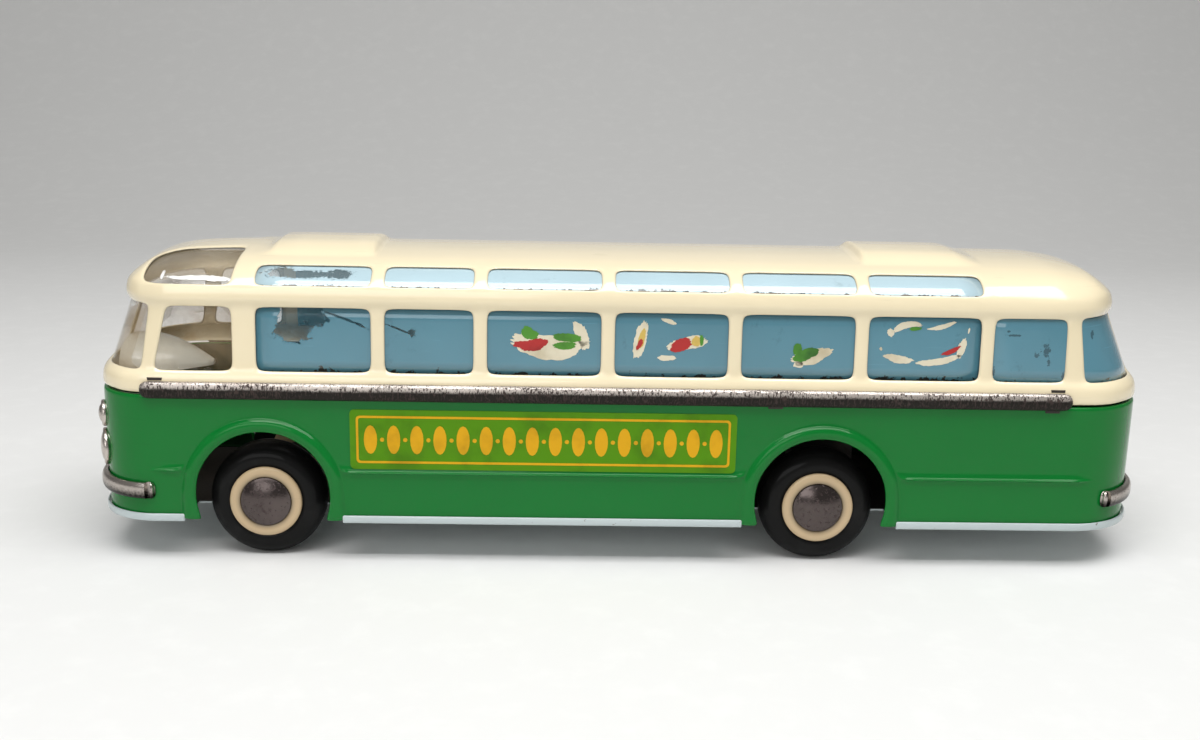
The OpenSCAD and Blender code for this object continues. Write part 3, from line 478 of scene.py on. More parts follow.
def use_group(tree, name, place, **values):
    """Places a shared group in a material with its own values, and gives its outputs."""
    made = node(tree, "ShaderNodeGroup", (-900, 0))
    made.node_tree = shared(name)
    tree.links.new(place, made.inputs["Vector"])
    for key, value in values.items():
        feed(tree, made.inputs[key.replace("_", " ")], value)
    return made.outputs


def bump(tree, shader, height, strength, distance):
    made = node(tree, "ShaderNodeBump", (-200, -400), _Strength=strength, _Distance=distance * MM)
    tree.links.new(height, made.inputs["Height"])
    tree.links.new(made.outputs["Normal"], shader.inputs["Normal"])


def attribute(tree, name):
    return node(tree, "ShaderNodeAttribute", (-1400, -300), attribute_name=name).outputs["Fac"]


def tint(colour, factor):
    return tuple(min(c * factor, 1.0) for c in tuple(colour)[:3])


# Dark brown line along the turned edges, partly worn paint and partly painted shade of the gaps
# there: how fast it fades, its strength and its tint
EDGE_FADE, EDGE_SHARE, EDGE_TINT = 1.3, 0.9, 0.24

# Roughness of paint: its least value, and what drift and chips add
PAINT_ROUGH, DRIFT_ROUGH, CHIP_ROUGH = 0.14, 0.12, 0.4


def paint_material(name, colour, bare, chip_amount, chip_size, drift, edge=None, gloss=0.4,
                   coat=0.2):
    """Stoved enamel with chips down to the bare tin and a dark brown line along edges: worn paint
    and painted shade.
    """
    material, tree, shader, place = start_material(name, roughness=0.2, specular=gloss)
    reach = attribute(tree, edge) if edge else 0.0
    age = use_group(tree, "paint age", place, Chip_Size=chip_size, Chip_Amount=chip_amount,
                    Edge=reach)
    base = mix(tree, age["Drift"], tint(colour, 1 - drift), tint(colour, 1 + drift))
    # Painted shade, with wear: the paint darkens to brown towards the marked edges, such as the
    # window lips
    if edge:
        line = times(tree, math_node(tree, "POWER", reach, EDGE_FADE), EDGE_SHARE)
        base = mix(tree, line, base, tint(colour, EDGE_TINT))
    worn = mix(tree, times(tree, age["Scratches"], 0.10), base, tint(colour, 0.5))
    tree.links.new(mix(tree, age["Chips"], worn, bare), shader.inputs["Base Color"])
    rough = plus(tree, times(tree, age["Drift"], DRIFT_ROUGH),
                 times(tree, age["Chips"], CHIP_ROUGH))
    tree.links.new(plus(tree, rough, PAINT_ROUGH), shader.inputs["Roughness"])
    gleam = math_node(tree, "SUBTRACT", coat, age["Chips"], clamp=True)
    tree.links.new(gleam, shader.inputs["Coat Weight"])
    peel = times(tree, age["Peel"], 0.25)
    bump(tree, shader, math_node(tree, "SUBTRACT", peel, age["Chips"]), 0.12, 0.1)
    return material


# Painted shade on the lower part of plated strips: how far the pit height waves its edge, in mm,
# and the tint of the shaded part
SHADE_WAVE, SHADE_TINT = 2.6, 0.045

# Tarnish and pits of the plate: strength and tint, loss of metal look, and roughness that they add
TARNISH_SHARE, TARNISH_TINT, TARNISH_ROUGH = 0.6, 0.62, 0.14
PIT_DULL, PIT_ROUGH = 0.75, 0.4


def nickel_material(name, colour, dark, pit_size, pit_level, rough, pit_depth, shaded_below=None,
                    streak=1.0):
    """Worn nickel plate with tarnish and dark pits; with two heights given, a painted shade darkens
    it below them, fading out between them.
    """
    material, tree, shader, place = start_material(name, roughness=rough, metallic=1.0)
    wear = use_group(tree, "plate wear", place, Pit_Size=pit_size, Pit_Level=pit_level,
                     Streak=streak)
    tarnish = times(tree, wear["Tarnish"], TARNISH_SHARE)
    base = mix(tree, tarnish, colour, tint(colour, TARNISH_TINT))
    # Painted shade: the plate darkens towards its bottom, as a stand-in for the reflection of dark
    # surroundings
    if shaded_below:
        parts = node(tree, "ShaderNodeSeparateXYZ")
        tree.links.new(place, parts.inputs[0])
        wave = times(tree, wear["Height"], SHADE_WAVE * MM)
        wavy = plus(tree, parts.outputs["Z"], wave)
        lit_above = step(tree, wavy, shaded_below[0] * MM, shaded_below[1] * MM)
        base = mix(tree, lit_above, tint(colour, SHADE_TINT), base)
    tree.links.new(mix(tree, wear["Pits"], base, dark), shader.inputs["Base Color"])
    dull = times(tree, wear["Pits"], PIT_DULL)
    tree.links.new(math_node(tree, "SUBTRACT", 1.0, dull), shader.inputs["Metallic"])
    roughness = plus(tree, times(tree, wear["Pits"], PIT_ROUGH),
                     times(tree, wear["Tarnish"], TARNISH_ROUGH))
    tree.links.new(plus(tree, roughness, rough), shader.inputs["Roughness"])
    bump(tree, shader, wear["Height"], pit_depth, 0.15)
    return material


GRAIN_ROUGH, GRAIN_ROUGH_OFF = 0.16, 0.06


def plain_material(name, colour, other, roughness, metallic=0.0, coat=0.0, grain_size=1200.0,
                   relief=0.1, specular=0.5):
    """Grained surface that drifts between two colours."""
    material, tree, shader, place = start_material(name, roughness, metallic, coat, specular)
    grain = use_group(tree, "surface grain", place, Grain_Size=grain_size)
    tree.links.new(mix(tree, grain["Dirt"], colour, other), shader.inputs["Base Color"])
    varied = times(tree, grain["Grain"], GRAIN_ROUGH)
    rough = plus(tree, varied, roughness - GRAIN_ROUGH_OFF)
    tree.links.new(rough, shader.inputs["Roughness"])
    bump(tree, shader, grain["Grain"], relief, 0.08)
    return material


PATCH_EDGE = (1.0, 0.94)
THIN_PATCH = 2.0


def patch(tree, place, spot, ragged):
    """Ragged patch about a place on the side of the coach, turned in its plane: 1 inside it."""
    centre, size, wobble, *turn = spot
    mapping = node(tree, "ShaderNodeMapping", vector_type="TEXTURE",
                   _Location=[c * MM for c in centre], _Scale=[s * MM for s in size],
                   _Rotation=(0.0, -math.radians(sum(turn)), 0.0))
    tree.links.new(place, mapping.inputs["Vector"])
    length = node(tree, "ShaderNodeVectorMath", operation="LENGTH")
    tree.links.new(mapping.outputs[0], length.inputs[0])
    ragged = times(tree, math_node(tree, "SUBTRACT", ragged, 0.5), wobble)
    return step(tree, plus(tree, length.outputs["Value"], ragged), *PATCH_EDGE)


def patches(tree, place, spots, ragged, torn=None):
    """Ragged patches about several places as one mask; thin ones take the torn noise, if given."""
    mask = 0.0
    for spot in spots:
        thin = torn is not None and spot[1][2] <= THIN_PATCH
        mask = math_node(tree, "MAXIMUM", patch(tree, place, spot, torn if thin else ragged), mask)
    return mask


# Noises for the edges of patches: scale, detail and roughness
RAGGED, TORN = (330.0, 6.0, 0.75), (1100.0, 4.0, 0.7)

# Blue back paint: drift, slow stains, tints of stains and scratches, dark specks and worn patches
BLUE_DRIFT, STAIN_NOISE, STAIN_STEP = 0.18, (120.0, 5.0, 0.7), (0.60, 0.72, 0.0, 0.28)
STAIN_TINT, PATCH_TINT, SCRATCH_TINT = 0.4, 0.42, 1.6
SPECK_DARK, WORN_THROUGH = (0.03, 0.035, 0.035), 0.85


def blue_material(name, colour, worn_patches, stained=()):
    """Celluloid painted blue on its back, with specks and worn patches that one sees through."""
    material, tree, shader, place = start_material(name, roughness=0.12, coat=0.6, specular=0.6)
    age = use_group(tree, "paint age", place, Chip_Size=420.0, Chip_Amount=0.42,
                    Edge=attribute(tree, "edge"))
    base = mix(tree, age["Drift"], tint(colour, 1 - BLUE_DRIFT), tint(colour, 1 + BLUE_DRIFT))
    stain = step(tree, noise(tree, place, *STAIN_NOISE), *STAIN_STEP)
    base = mix(tree, stain, base, tint(colour, STAIN_TINT))
    ragged, torn = noise(tree, place, *RAGGED), noise(tree, place, *TORN)
    base = mix(tree, patches(tree, place, stained, torn), base, tint(colour, PATCH_TINT))
    worn = mix(tree, times(tree, age["Scratches"], 0.25), base, tint(colour, SCRATCH_TINT))
    tree.links.new(mix(tree, age["Chips"], worn, SPECK_DARK), shader.inputs["Base Color"])
    if worn_patches:
        lost = patches(tree, place, worn_patches, ragged, torn)
        alpha = math_node(tree, "SUBTRACT", 1.0, times(tree, lost, WORN_THROUGH))
        tree.links.new(alpha, shader.inputs["Alpha"])
    rough = plus(tree, times(tree, age["Drift"], 0.14), 0.06)
    tree.links.new(rough, shader.inputs["Roughness"])
    bump(tree, shader, noise(tree, place, 70.0, 2.0), 0.10, 0.5)
    return material


# Clear celluloid: painted white highlights and their cover, smears, and the film that they leave
GLINT_WHITE, GLINT_COVER = (0.95, 0.95, 0.92), 0.8
SMEAR_NOISE, FILM_STEP = (55.0, 4.0, 0.6, 0.6), (0.35, 0.8, 0.04, 0.26)


def clear_material(name, colour, glint_spots):
    """Clear aged celluloid: thin, a little smoky, with smears, waves and painted white highlights.
    """
    material, tree, shader, place = start_material(name, roughness=0.05, coat=1.0, specular=0.8)
    age = use_group(tree, "paint age", place, Chip_Size=500.0, Chip_Amount=0.2, Edge=0.0)
    base = mix(tree, age["Drift"], tint(colour, 0.8), tint(colour, 1.1))
    # Painted highlights: white streaks laid over the celluloid
    glint_mask = patches(tree, place, glint_spots, noise(tree, place, *RAGGED))
    tree.links.new(mix(tree, glint_mask, base, GLINT_WHITE), shader.inputs["Base Color"])
    film = step(tree, noise(tree, place, *SMEAR_NOISE), *FILM_STEP)
    rim = node(tree, "ShaderNodeLayerWeight", _Blend=0.25).outputs["Fresnel"]
    alpha = plus(tree, film, times(tree, rim, 0.3), clamp=True)
    alpha = plus(tree, alpha, times(tree, age["Scratches"], 0.2), clamp=True)
    alpha = math_node(tree, "MAXIMUM", alpha, times(tree, glint_mask, GLINT_COVER))
    tree.links.new(alpha, shader.inputs["Alpha"])
    bump(tree, shader, noise(tree, place, 42.0, 2.0), 0.8, 1.2)
    return material


BARE_TIN, RUST = (0.16, 0.13, 0.11), (0.05, 0.035, 0.03)
# Heights, in mm, between which the painted shade under the bumpers and the rails fades out
BUMPER_SHADE, RAIL_SHADE = (18.4, 20.8), (46.7, 47.5)
MATERIALS = {}


def finishes(c):
    """Every finish for the panel's colours: its maker and the values that the maker takes."""
    inside = dict(roughness=0.5, grain_size=700.0, specular=0.2)
    printed = dict(roughness=0.5, grain_size=1600.0, relief=0.3)
    plate = dict(dark=RUST, pit_size=1500.0, pit_level=0.78, pit_depth=0.2)
    return {
        "cream paint": (paint_material, dict(
            colour=c.cream, bare=(0.20, 0.15, 0.10), chip_amount=0.30, chip_size=700.0, drift=0.05,
            edge="edge", coat=0.8)),
        "green paint": (paint_material, dict(
            colour=c.green, bare=BARE_TIN, chip_amount=0.16, chip_size=600.0, drift=0.07,
            edge="edge", gloss=0.06, coat=0.42)),
        "pale paint": (paint_material, dict(
            colour=c.pale, bare=BARE_TIN, chip_amount=0.82, chip_size=520.0, drift=0.08)),
        "cowl paint": (paint_material, dict(
            colour=(0.80, 0.77, 0.66), bare=BARE_TIN, chip_amount=0.2, chip_size=500.0,
            drift=0.08)),
        "rim plastic": (paint_material, dict(
            colour=c.rim, bare=tint(c.rim, 0.3), chip_amount=0.12, chip_size=900.0, drift=0.06,
            edge="edge")),
        "nickel": (nickel_material, dict(colour=tint(c.nickel, 1.5), rough=0.2, **plate)),
        # Bumper and rail nickel: painted shade darkens their lower parts
        "bumper nickel": (nickel_material, dict(
            colour=tint(c.nickel, 1.3), rough=0.22, shaded_below=BUMPER_SHADE, **plate)),
        # The hubcaps' nickel is drawn very dark: a painted reflection of dark surroundings
        "hub nickel": (nickel_material, dict(
            colour=(0.118, 0.096, 0.092), dark=(0.05, 0.03, 0.03), pit_size=1100.0, pit_level=0.73,
            rough=0.16, pit_depth=0.3)),
        "rail nickel": (nickel_material, dict(
            colour=tint(c.nickel, 1.65), dark=(0.06, 0.04, 0.035), pit_size=2600.0, pit_level=0.67,
            rough=0.3, pit_depth=0.8, shaded_below=RAIL_SHADE, streak=0.3)),
        "clear celluloid": (clear_material, dict(colour=c.clear, glint_spots=CLEAR_GLINTS)),
        "screen celluloid": (clear_material, dict(colour=c.screen, glint_spots=SCREEN_GLINTS)),
        "side blue": (blue_material, dict(colour=c.blue, worn_patches=SIDE_WORN)),
        # Roof windows take a much lighter blue than the side windows: painted reflection of the
        # light from above
        "roof blue": (blue_material, dict(colour=c.roof_blue, worn_patches=ROOF_WORN)),
        "rear blue": (blue_material, dict(colour=c.blue, worn_patches=(), stained=REAR_STAINS)),
        "tyre black": (plain_material, dict(
            colour=c.tyre, other=tint(c.tyre, 2.2), roughness=0.40, coat=0.12, grain_size=1500.0,
            relief=0.14, specular=0.06)),
        # Inside of the cream shell: the cream paint drawn darker and browner, as painted shade of
        # the interior
        "cream inside": (plain_material, dict(
            colour=tint(c.cream, 0.85), other=(0.50, 0.34, 0.16), **inside)),
        # Inside of the green shell: the green paint drawn much darker, as painted shade inside the
        # body and its wheel arches
        "shell inside": (plain_material, dict(
            colour=tint(c.green, 0.16), other=tint(c.green, 0.08), **inside)),
        # Dark tin: painted shade on the pan's upper faces and at the rail slots; also used on the
        # axle bracket and motor plates
        "dark tin": (plain_material, dict(
            colour=(0.035, 0.03, 0.026), other=(0.07, 0.05, 0.04), roughness=0.55, metallic=0.3)),
        "sign green": (plain_material, dict(
            colour=c.sign, other=tint(c.sign, 0.72), roughness=0.36, coat=0.05, grain_size=700.0,
            relief=0.08, specular=0.15)),
        "sign gold": (plain_material, dict(
            colour=c.gold, other=tint(c.gold, 0.72), roughness=0.4, coat=0.05, grain_size=900.0,
            specular=0.15)),
        "paper": (plain_material, dict(
            colour=(0.72, 0.66, 0.50), other=(0.52, 0.45, 0.30), roughness=0.6, grain_size=1800.0,
            relief=0.3)),
        "red print": (plain_material, dict(
            colour=(0.42, 0.02, 0.018), other=(0.20, 0.01, 0.01), **printed)),
        "green print": (plain_material, dict(
            colour=(0.07, 0.26, 0.02), other=(0.02, 0.10, 0.01), **printed)),
        "yellow print": (plain_material, dict(
            colour=(0.62, 0.44, 0.10), other=(0.40, 0.20, 0.04), **printed)),
        "steel": (plain_material, dict(
            colour=(0.42, 0.42, 0.43), other=(0.22, 0.21, 0.20), roughness=0.34, metallic=1.0,
            grain_size=2500.0, relief=0.15)),
        "brass": (plain_material, dict(
            colour=(0.62, 0.44, 0.16), other=(0.36, 0.24, 0.09), roughness=0.3, metallic=1.0,
            grain_size=2500.0, relief=0.12)),
        "cast metal": (plain_material, dict(
            colour=(0.20, 0.20, 0.21), other=(0.10, 0.10, 0.10), roughness=0.5, metallic=0.8,
            grain_size=1600.0, relief=0.3)),
    }


def finish(name):
    """The finish of that name, built once."""
    if name not in MATERIALS:
        maker, values = finishes(bpy.context.scene.coach.colours)[name]
        MATERIALS[name] = maker(name, **values)
    return MATERIALS[name]


# Worn and stained patches, and painted white highlights on the clear celluloid: centre, half sizes,
# raggedness and for some a turn in degrees
SIDE_WORN = (
    ((83.0, 30.0, 63.6), (6.2, 9.0, 4.4), 1.9),
    ((84.6, 30.0, 60.4), (4.6, 9.0, 3.6), 2.2),
    ((72.0, 30.0, 63.6), (6.0, 9.0, 0.34), 2.4, 20.0),
    ((68.0, 30.0, 62.0), (2.2, 9.0, 0.30), 3.0, 24.0),
    ((58.4, 30.0, 61.2), (3.4, 9.0, 0.26), 2.2, 22.0),
    ((55.0, 30.0, 60.3), (1.0, 9.0, 0.9), 3.4, 30.0),
)
# White streaks on the roof-corner windows and the windscreen: painted highlights
CLEAR_GLINTS = (
    ((108.5, 27.0, 73.2), (7.6, 9.0, 0.42), 2.6),
    ((103.6, 27.0, 73.0), (3.4, 9.0, 0.55), 2.4),
    ((117.6, 25.0, 73.5), (0.45, 9.0, 0.9), 2.6),
)
SCREEN_GLINTS = (
    ((127.0, 20.0, 65.4), (1.6, 6.0, 0.7), 2.4),
)
REAR_STAINS = (
    ((-98.9, 29.0, 62.0), (1.8, 9.0, 0.28), 3.4),
    ((-97.2, 29.0, 63.0), (0.4, 9.0, 0.25), 3.0),
    ((-107.2, 29.0, 58.2), (0.9, 9.0, 1.5), 5.6),
    ((-104.8, 29.0, 57.0), (0.5, 9.0, 0.5), 5.0),
    ((-108.2, 29.0, 55.2), (0.5, 9.0, 1.0), 5.4),
    ((-94.0, 29.0, 52.4), (0.4, 9.0, 1.0), 4.2),
    ((-112.0, 29.0, 51.6), (0.4, 9.0, 1.0), 4.2),
    ((-119.6, 27.0, 62.0), (0.4, 9.0, 1.2), 5.4),
)
ROOF_WORN = (
    ((83.5, 27.5, 74.2), (9.5, 9.0, 0.8), 1.8),
    ((88.0, 27.0, 74.8), (3.2, 9.0, 0.9), 2.2),
    ((73.5, 27.5, 74.3), (3.6, 9.0, 1.0), 2.2),
)


# Upper shell

CORNER_Z = (SILL_Z, HEAD_Z, ROOF_SILL_Z)
FRONT_CORNER = ((32.0, 45.0, 52.0), (24.0, 37.0, 44.0), (16.0, 29.4, 35.5), (3.6, 10.8, 17.0))
REAR_CORNER = ((7.0, 22.0, 27.0), (14.0, 29.0, 35.0), (21.0, 36.0, 43.0), (28.0, 43.0, 51.0))
FRONT_LINES = ((1.2, 1.2, 1.2), (4.5, 4.5, 4.5), (8.5, 8.5, 8.5), (13.4, 13.4, 13.4),
               (16.5, 16.3, 16.4), (19.3, 18.9, 18.6), (22.5, 21.4, 20.6), (25.5, 23.7, 22.3))
REAR_LINES = ((3.7, 3.7, 3.7), (7.4, 7.4, 7.4), (10.8, 10.8, 10.8), (14.4, 14.4, 14.2),
              (17.8, 17.0, 16.4), (20.4, 18.8, 17.9), (23.0, 20.6, 19.4), (25.8, 22.4, 20.9))
SIDE_LINES = (None, None, None, 14.4, 17.0, 19.0, 22.7, 27.0)
SEAM_GAP = 0.22
UPPER_LOW = SEAM_Z + SEAM_GAP
RING_Z = (UPPER_LOW, LEDGE_LOW_Z, 48.0, 49.3, SILL_Z, 53.4, 63.0, HEAD_Z, 67.3, BROW_Z, ROOF_Z,
          ROOF_SILL_Z)
SILL_ROW, HEAD_ROW = RING_Z.index(SILL_Z), RING_Z.index(HEAD_Z)
LINE_N = len(FRONT_LINES)

# Roof hatches: their lengths, the roof lines they take in, and columns moved to their edges
HATCH_SPANS = ((66.0, 92.5), (-88.0, -62.0))
HATCH_LINES = 5
HATCH_LOW_Z = 76.0
HATCH_CREASES = ((92.0, 0.75), (66.7, 0.9), (65.32, 0.85), (98.8, 0.4), (-62.3, 0.9), (-60.9, 0.85),
                 (-87.0, 0.75), (-93.0, 0.4))
HATCH_SHIFT = {90.7: 92.0, 68.72: 66.7, 97.2: 98.8, -57.72: -60.9, -61.32: -62.3, -86.7: -87.0,
               -90.1: -93.0, -93.7: -95.4}
HATCH_NEAR, HATCH_MARGIN = 0.05, 0.2

# Roof lines draw together towards the ends: where that starts, and over what length
FRONT_DRAW, REAR_DRAW, SIDE_RUN = (109.0, 20.0), (104.0, 25.0), (97.0, 187.0)
CAB_COLUMN_GAP = 3.3
CAB_COLUMNS = (103.6, CAB_REAR, 97.2)

# Roof-corner windows: first column and roof line, and the step that rounds their inner front corner
CORNER_COLUMN, CORNER_LINE = 2, 3
CORNER_STEP = (1.4, 1.1)
ROOF_WINDOW_LINES = (7, 8, -8, -9)
MID_PANE, REAR_PANE = 3, 4

# Columns of the front corner where the windscreen ends and the cab's side window starts
SCREEN_LAST, CAB_FIRST = 2, 3


def by_height(values, z):
    return between(list(zip(CORNER_Z, values)), z)


def side_columns():
    """X of the straight columns on a side, from front to rear."""
    xs = list(CAB_COLUMNS)
    for front, rear in WINDOWS:
        xs += [front, round(front - CORNER_SUPPORT, 2), round(rear + CORNER_SUPPORT, 2), rear]
    return xs


SIDE_XS = side_columns()
COLUMNS = (
    [("front", None)] + [("front", v) for v in FRONT_LINES]
    + [("corner", 1, v) for v in FRONT_CORNER] + [("cab", CAB_COLUMN_GAP)]
    + [("side", x) for x in SIDE_XS] + [("corner", -1, v) for v in REAR_CORNER]
    + [("rear", v) for v in REAR_LINES[::-1]] + [("rear", None)]
)
N_HALF = len(COLUMNS)
FIRST_CORNER = 1 + LINE_N
FIRST_SIDE = FIRST_CORNER + len(FRONT_CORNER) + 1
FIRST_REAR = FIRST_SIDE + len(SIDE_XS)


def ring_point(column, z):
    """Plan point of a column of the left half at a height."""
    on_roof = z > ROOF_Z
    plan, s = (ROOF_PLAN, spread_of(z)) if on_roof else (plan_at(z), 1.0)
    kind = column[0]
    if kind in ("front", "rear"):
        y = 0.0 if column[1] is None else by_height(column[1], z) / s
        x = plan.end_x(1 if kind == "front" else -1, y)
    elif kind == "corner":
        x, y = plan.corner(column[1], by_height(column[2], z))
    elif kind == "cab":
        x = plan.corner(1, by_height(FRONT_CORNER[-1], z))[0] - column[1]
        y = plan.side_y(x)
    else:
        x = column[1]
        y = plan.side_y(x)
    return shrink(x, y, s) if on_roof else (x, y)


def roof_line_y(j, x, front_y, rear_y):
    """Distance of roof line j from the middle at x."""
    side = SIDE_LINES[j - 1]
    front_side = side if side is not None else front_y
    rear_side = side if side is not None else rear_y
    if x > FRONT_DRAW[0]:
        return front_side + (front_y - front_side) * min((x - FRONT_DRAW[0]) / FRONT_DRAW[1], 1.0)
    if -x > REAR_DRAW[0]:
        return rear_side + (rear_y - rear_side) * min((-x - REAR_DRAW[0]) / REAR_DRAW[1], 1.0)
    k = min(max((SIDE_RUN[0] - x) / SIDE_RUN[1], 0.0), 1.0)
    return front_side + (rear_side - front_side) * k


def column_of(x):
    return FIRST_SIDE + SIDE_XS.index(x)


def shell_cage():
    """Points and faces of the upper shell with its windows left out."""
    points, lookup = [], {}

    def add(key, p):
        lookup[key] = len(points)
        points.append(p)

    n_ring = 2 * N_HALF - 2
    for row, z in enumerate(RING_Z):
        half = [ring_point(c, z) for c in COLUMNS]
        ring = half + [(x, -y) for x, y in half[-2:0:-1]]
        for c, (x, y) in enumerate(ring):
            add((row, c), (x, y, z))
    top = len(RING_Z) - 1

    # X lines that cross the roof: the corner and side columns but for the two corner ends
    cross = list(range(FIRST_CORNER + 1, FIRST_REAR + len(REAR_CORNER) - 1))
    corner_j = LINE_N + 1

    def roof_vertex(i, j):
        if abs(j) == corner_j:
            c = FIRST_CORNER + i
            return lookup[(top, c if j > 0 else (n_ring - c) % n_ring)]
        if i == 0:
            return lookup[(top, j % n_ring)]
        if i == len(cross) + 1:
            return lookup[(top, N_HALF - 1 - j)]
        return lookup[("roof", i, j)]

    for i, c in enumerate(cross, 1):
        column = COLUMNS[c]
        base_x = ring_point(column, ROOF_SILL_Z)[0]
        for j in range(-LINE_N, LINE_N + 1):
            x = base_x
            if column[0] == "side" and column[1] in HATCH_SHIFT and abs(j) <= HATCH_LINES + 1:
                x += (HATCH_SHIFT[column[1]] - x) * (1.0 if abs(j) <= HATCH_LINES else 0.5)
            y = 0.0
            if j:
                y = roof_line_y(abs(j), x, FRONT_LINES[abs(j) - 1][2], REAR_LINES[abs(j) - 1][2])
            z = roof_height(x, y)
            if abs(j) <= HATCH_LINES and any(a < x < b for a, b in HATCH_SPANS):
                z = max(z, hatch_height(y))
            add(("roof", i, j), (x, math.copysign(y, j) if j else 0.0, z))

    # A rounder inner front corner for the roof-corner windows
    for side, _ in SIDES:
        k = lookup[("roof", CORNER_COLUMN, CORNER_LINE * side)]
        x, y = points[k][0] - CORNER_STEP[0], points[k][1]
        points[k] = (x, y + CORNER_STEP[1] * side, roof_height(x, y + CORNER_STEP[1]))

    gone = set()
    half_open = [(column_of(front), column_of(rear)) for front, rear in WINDOWS]
    half_open += [(FIRST_CORNER + CAB_FIRST, column_of(CAB_REAR)), (1, FIRST_CORNER + SCREEN_LAST),
                  (FIRST_REAR, N_HALF - 1 - REAR_PANE), (N_HALF - 1 - MID_PANE, N_HALF - 1)]
    for a, b in half_open:
        for c in range(a, b):
            gone.update((r, d) for r in range(SILL_ROW, HEAD_ROW) for d in (c, n_ring - 1 - c))
    faces = []
    for r in range(top):
        for c in range(n_ring):
            if (r, c) not in gone:
                d = (c + 1) % n_ring
                corners = ((r, c), (r, d), (r + 1, d), (r + 1, c))
                faces.append(tuple(lookup[corner] for corner in corners))

    roof_open = set()
    for front, rear in WINDOWS[:-1]:
        for i in range(column_of(front) - FIRST_CORNER, column_of(rear) - FIRST_CORNER):
            roof_open.update((i, j) for j in ROOF_WINDOW_LINES)
    for i in range(CORNER_COLUMN, column_of(CAB_REAR) - FIRST_CORNER):
        roof_open.update((i, k) for j in range(CORNER_LINE, corner_j) for k in (j, -j - 1))
    for i in range(len(cross) + 1):
        for j in range(-corner_j, corner_j):
            if (i, j) not in roof_open:
                faces.append((roof_vertex(i, j), roof_vertex(i, j + 1), roof_vertex(i + 1, j + 1),
                              roof_vertex(i + 1, j)))
    return points, faces


def open_sheet(piece):
    """Mesh of a cage for editing, with the layers of its edge mark and its creases."""
    bm = bmesh.new()
    bm.from_mesh(piece.data)
    bmesh.ops.delete(bm, geom=[v for v in bm.verts if not v.link_faces], context="VERTS")
    return bm, bm.verts.layers.float.new("edge"), bm.edges.layers.float.new("crease_edge")


def turn_borders(bm, edge_layer, way):
    """Turns the borders of a sheet; way gives a border point's step and its edge mark."""
    borders = [e for e in bm.edges if e.is_boundary]
    turned = {}
    for e in borders:
        for v in e.verts:
            if v not in turned:
                move, worn = way(v)
                turned[v] = bm.verts.new(v.co + move)
                turned[v][edge_layer] = worn
    for e in borders:
        loop = e.link_loops[0]
        a, b = loop.vert, loop.link_loop_next.vert
        bm.faces.new((b, a, turned[a], turned[b]))


SHELL_SUBDIVISIONS = 2


def close_sheet(bm, piece, settings, inside):
    """Puts an edited sheet back, gives it the thickness of the tin and smooths it."""
    for f in bm.faces:
        f.smooth = True
    bm.to_mesh(piece.data)
    bm.free()
    solidify(piece, settings.tin / MM, finish(inside))
    subdivide(piece, SHELL_SUBDIVISIONS)


def at_height(v, z):
    return abs(v.co.z - z * MM) < SAME_POINT


def upper_shell(settings):
    points, faces = shell_cage()
    piece = new_piece("upper_shell", points, faces, finish("cream paint"))
    bm, edge, sharp = open_sheet(piece)
    for e in bm.edges:
        for x, weight in HATCH_CREASES:
            if all(abs(v.co.x / MM - x) < HATCH_NEAR and v.co.z > HATCH_LOW_Z * MM
                   and abs(v.co.y) < (HATCH_HALF_W + HATCH_MARGIN) * MM for v in e.verts):
                e[sharp] = weight
    bm.normal_update()

    def inwards(v):
        at_seam = at_height(v, UPPER_LOW)
        reach = settings.flange if at_seam else settings.lip
        return -v.normal * reach, 0.0 if at_seam else 1.0

    turn_borders(bm, edge, inwards)
    close_sheet(bm, piece, settings, "cream inside")
    settle(piece, BODY, "cream_paint", "upper_body")


# Lower shell

LOWER_TOP = SEAM_Z - SEAM_GAP
LOWER_Z = (FLOOR_Z, 12.8, 17.5, 23.45, 24.0, 24.5, 32.0, ARCH_BLOCK_TOP, 42.6, LOWER_TOP)
CREASE_ROW = 4
CREASE_RUN, CREASE_PROUD = (-118.0, 118.6), 0.8
CREASE_WEIGHTS = ((CREASE_ROW - 1, 0.9), (CREASE_ROW, 0.75), (CREASE_ROW + 1, 0.9))
BLOCK_ROWS = 8
TOP_OFFSETS = (15.0, 7.5, 0.0, -7.5, -15.0)
END_COLUMNS = (0.0, 4.5, 9.5, 14.0)
FRONT_TURNS, REAR_TURNS = (70, 58, 46, 34, 22, 11), (11, 22, 33, 44, 55, 66)
MID_GAPS = 5
REAR_SIDE_XS = (-90.0, -104.0, -115.4)
FLOOR_TURN, ARCH_TURN = 0.7, 1.5

# Bead round an arch, from its lip outwards: radius and how far proud; its legs stand straight
BEAD = ((17.1, 0.1), (17.25, 0.8), (18.3, 1.35), (20.0, 1.25), (20.85, 0.12), (21.6, 0.0))
BEAD_CREASE = 0.6
BEAD_EVEN = 0.55
LEG_FROM_R, LEG_REACH = 18.5, 19.0


def arch_columns(x):
    return [x + ARCH_BLOCK] + [x + o for o in TOP_OFFSETS] + [x - ARCH_BLOCK]


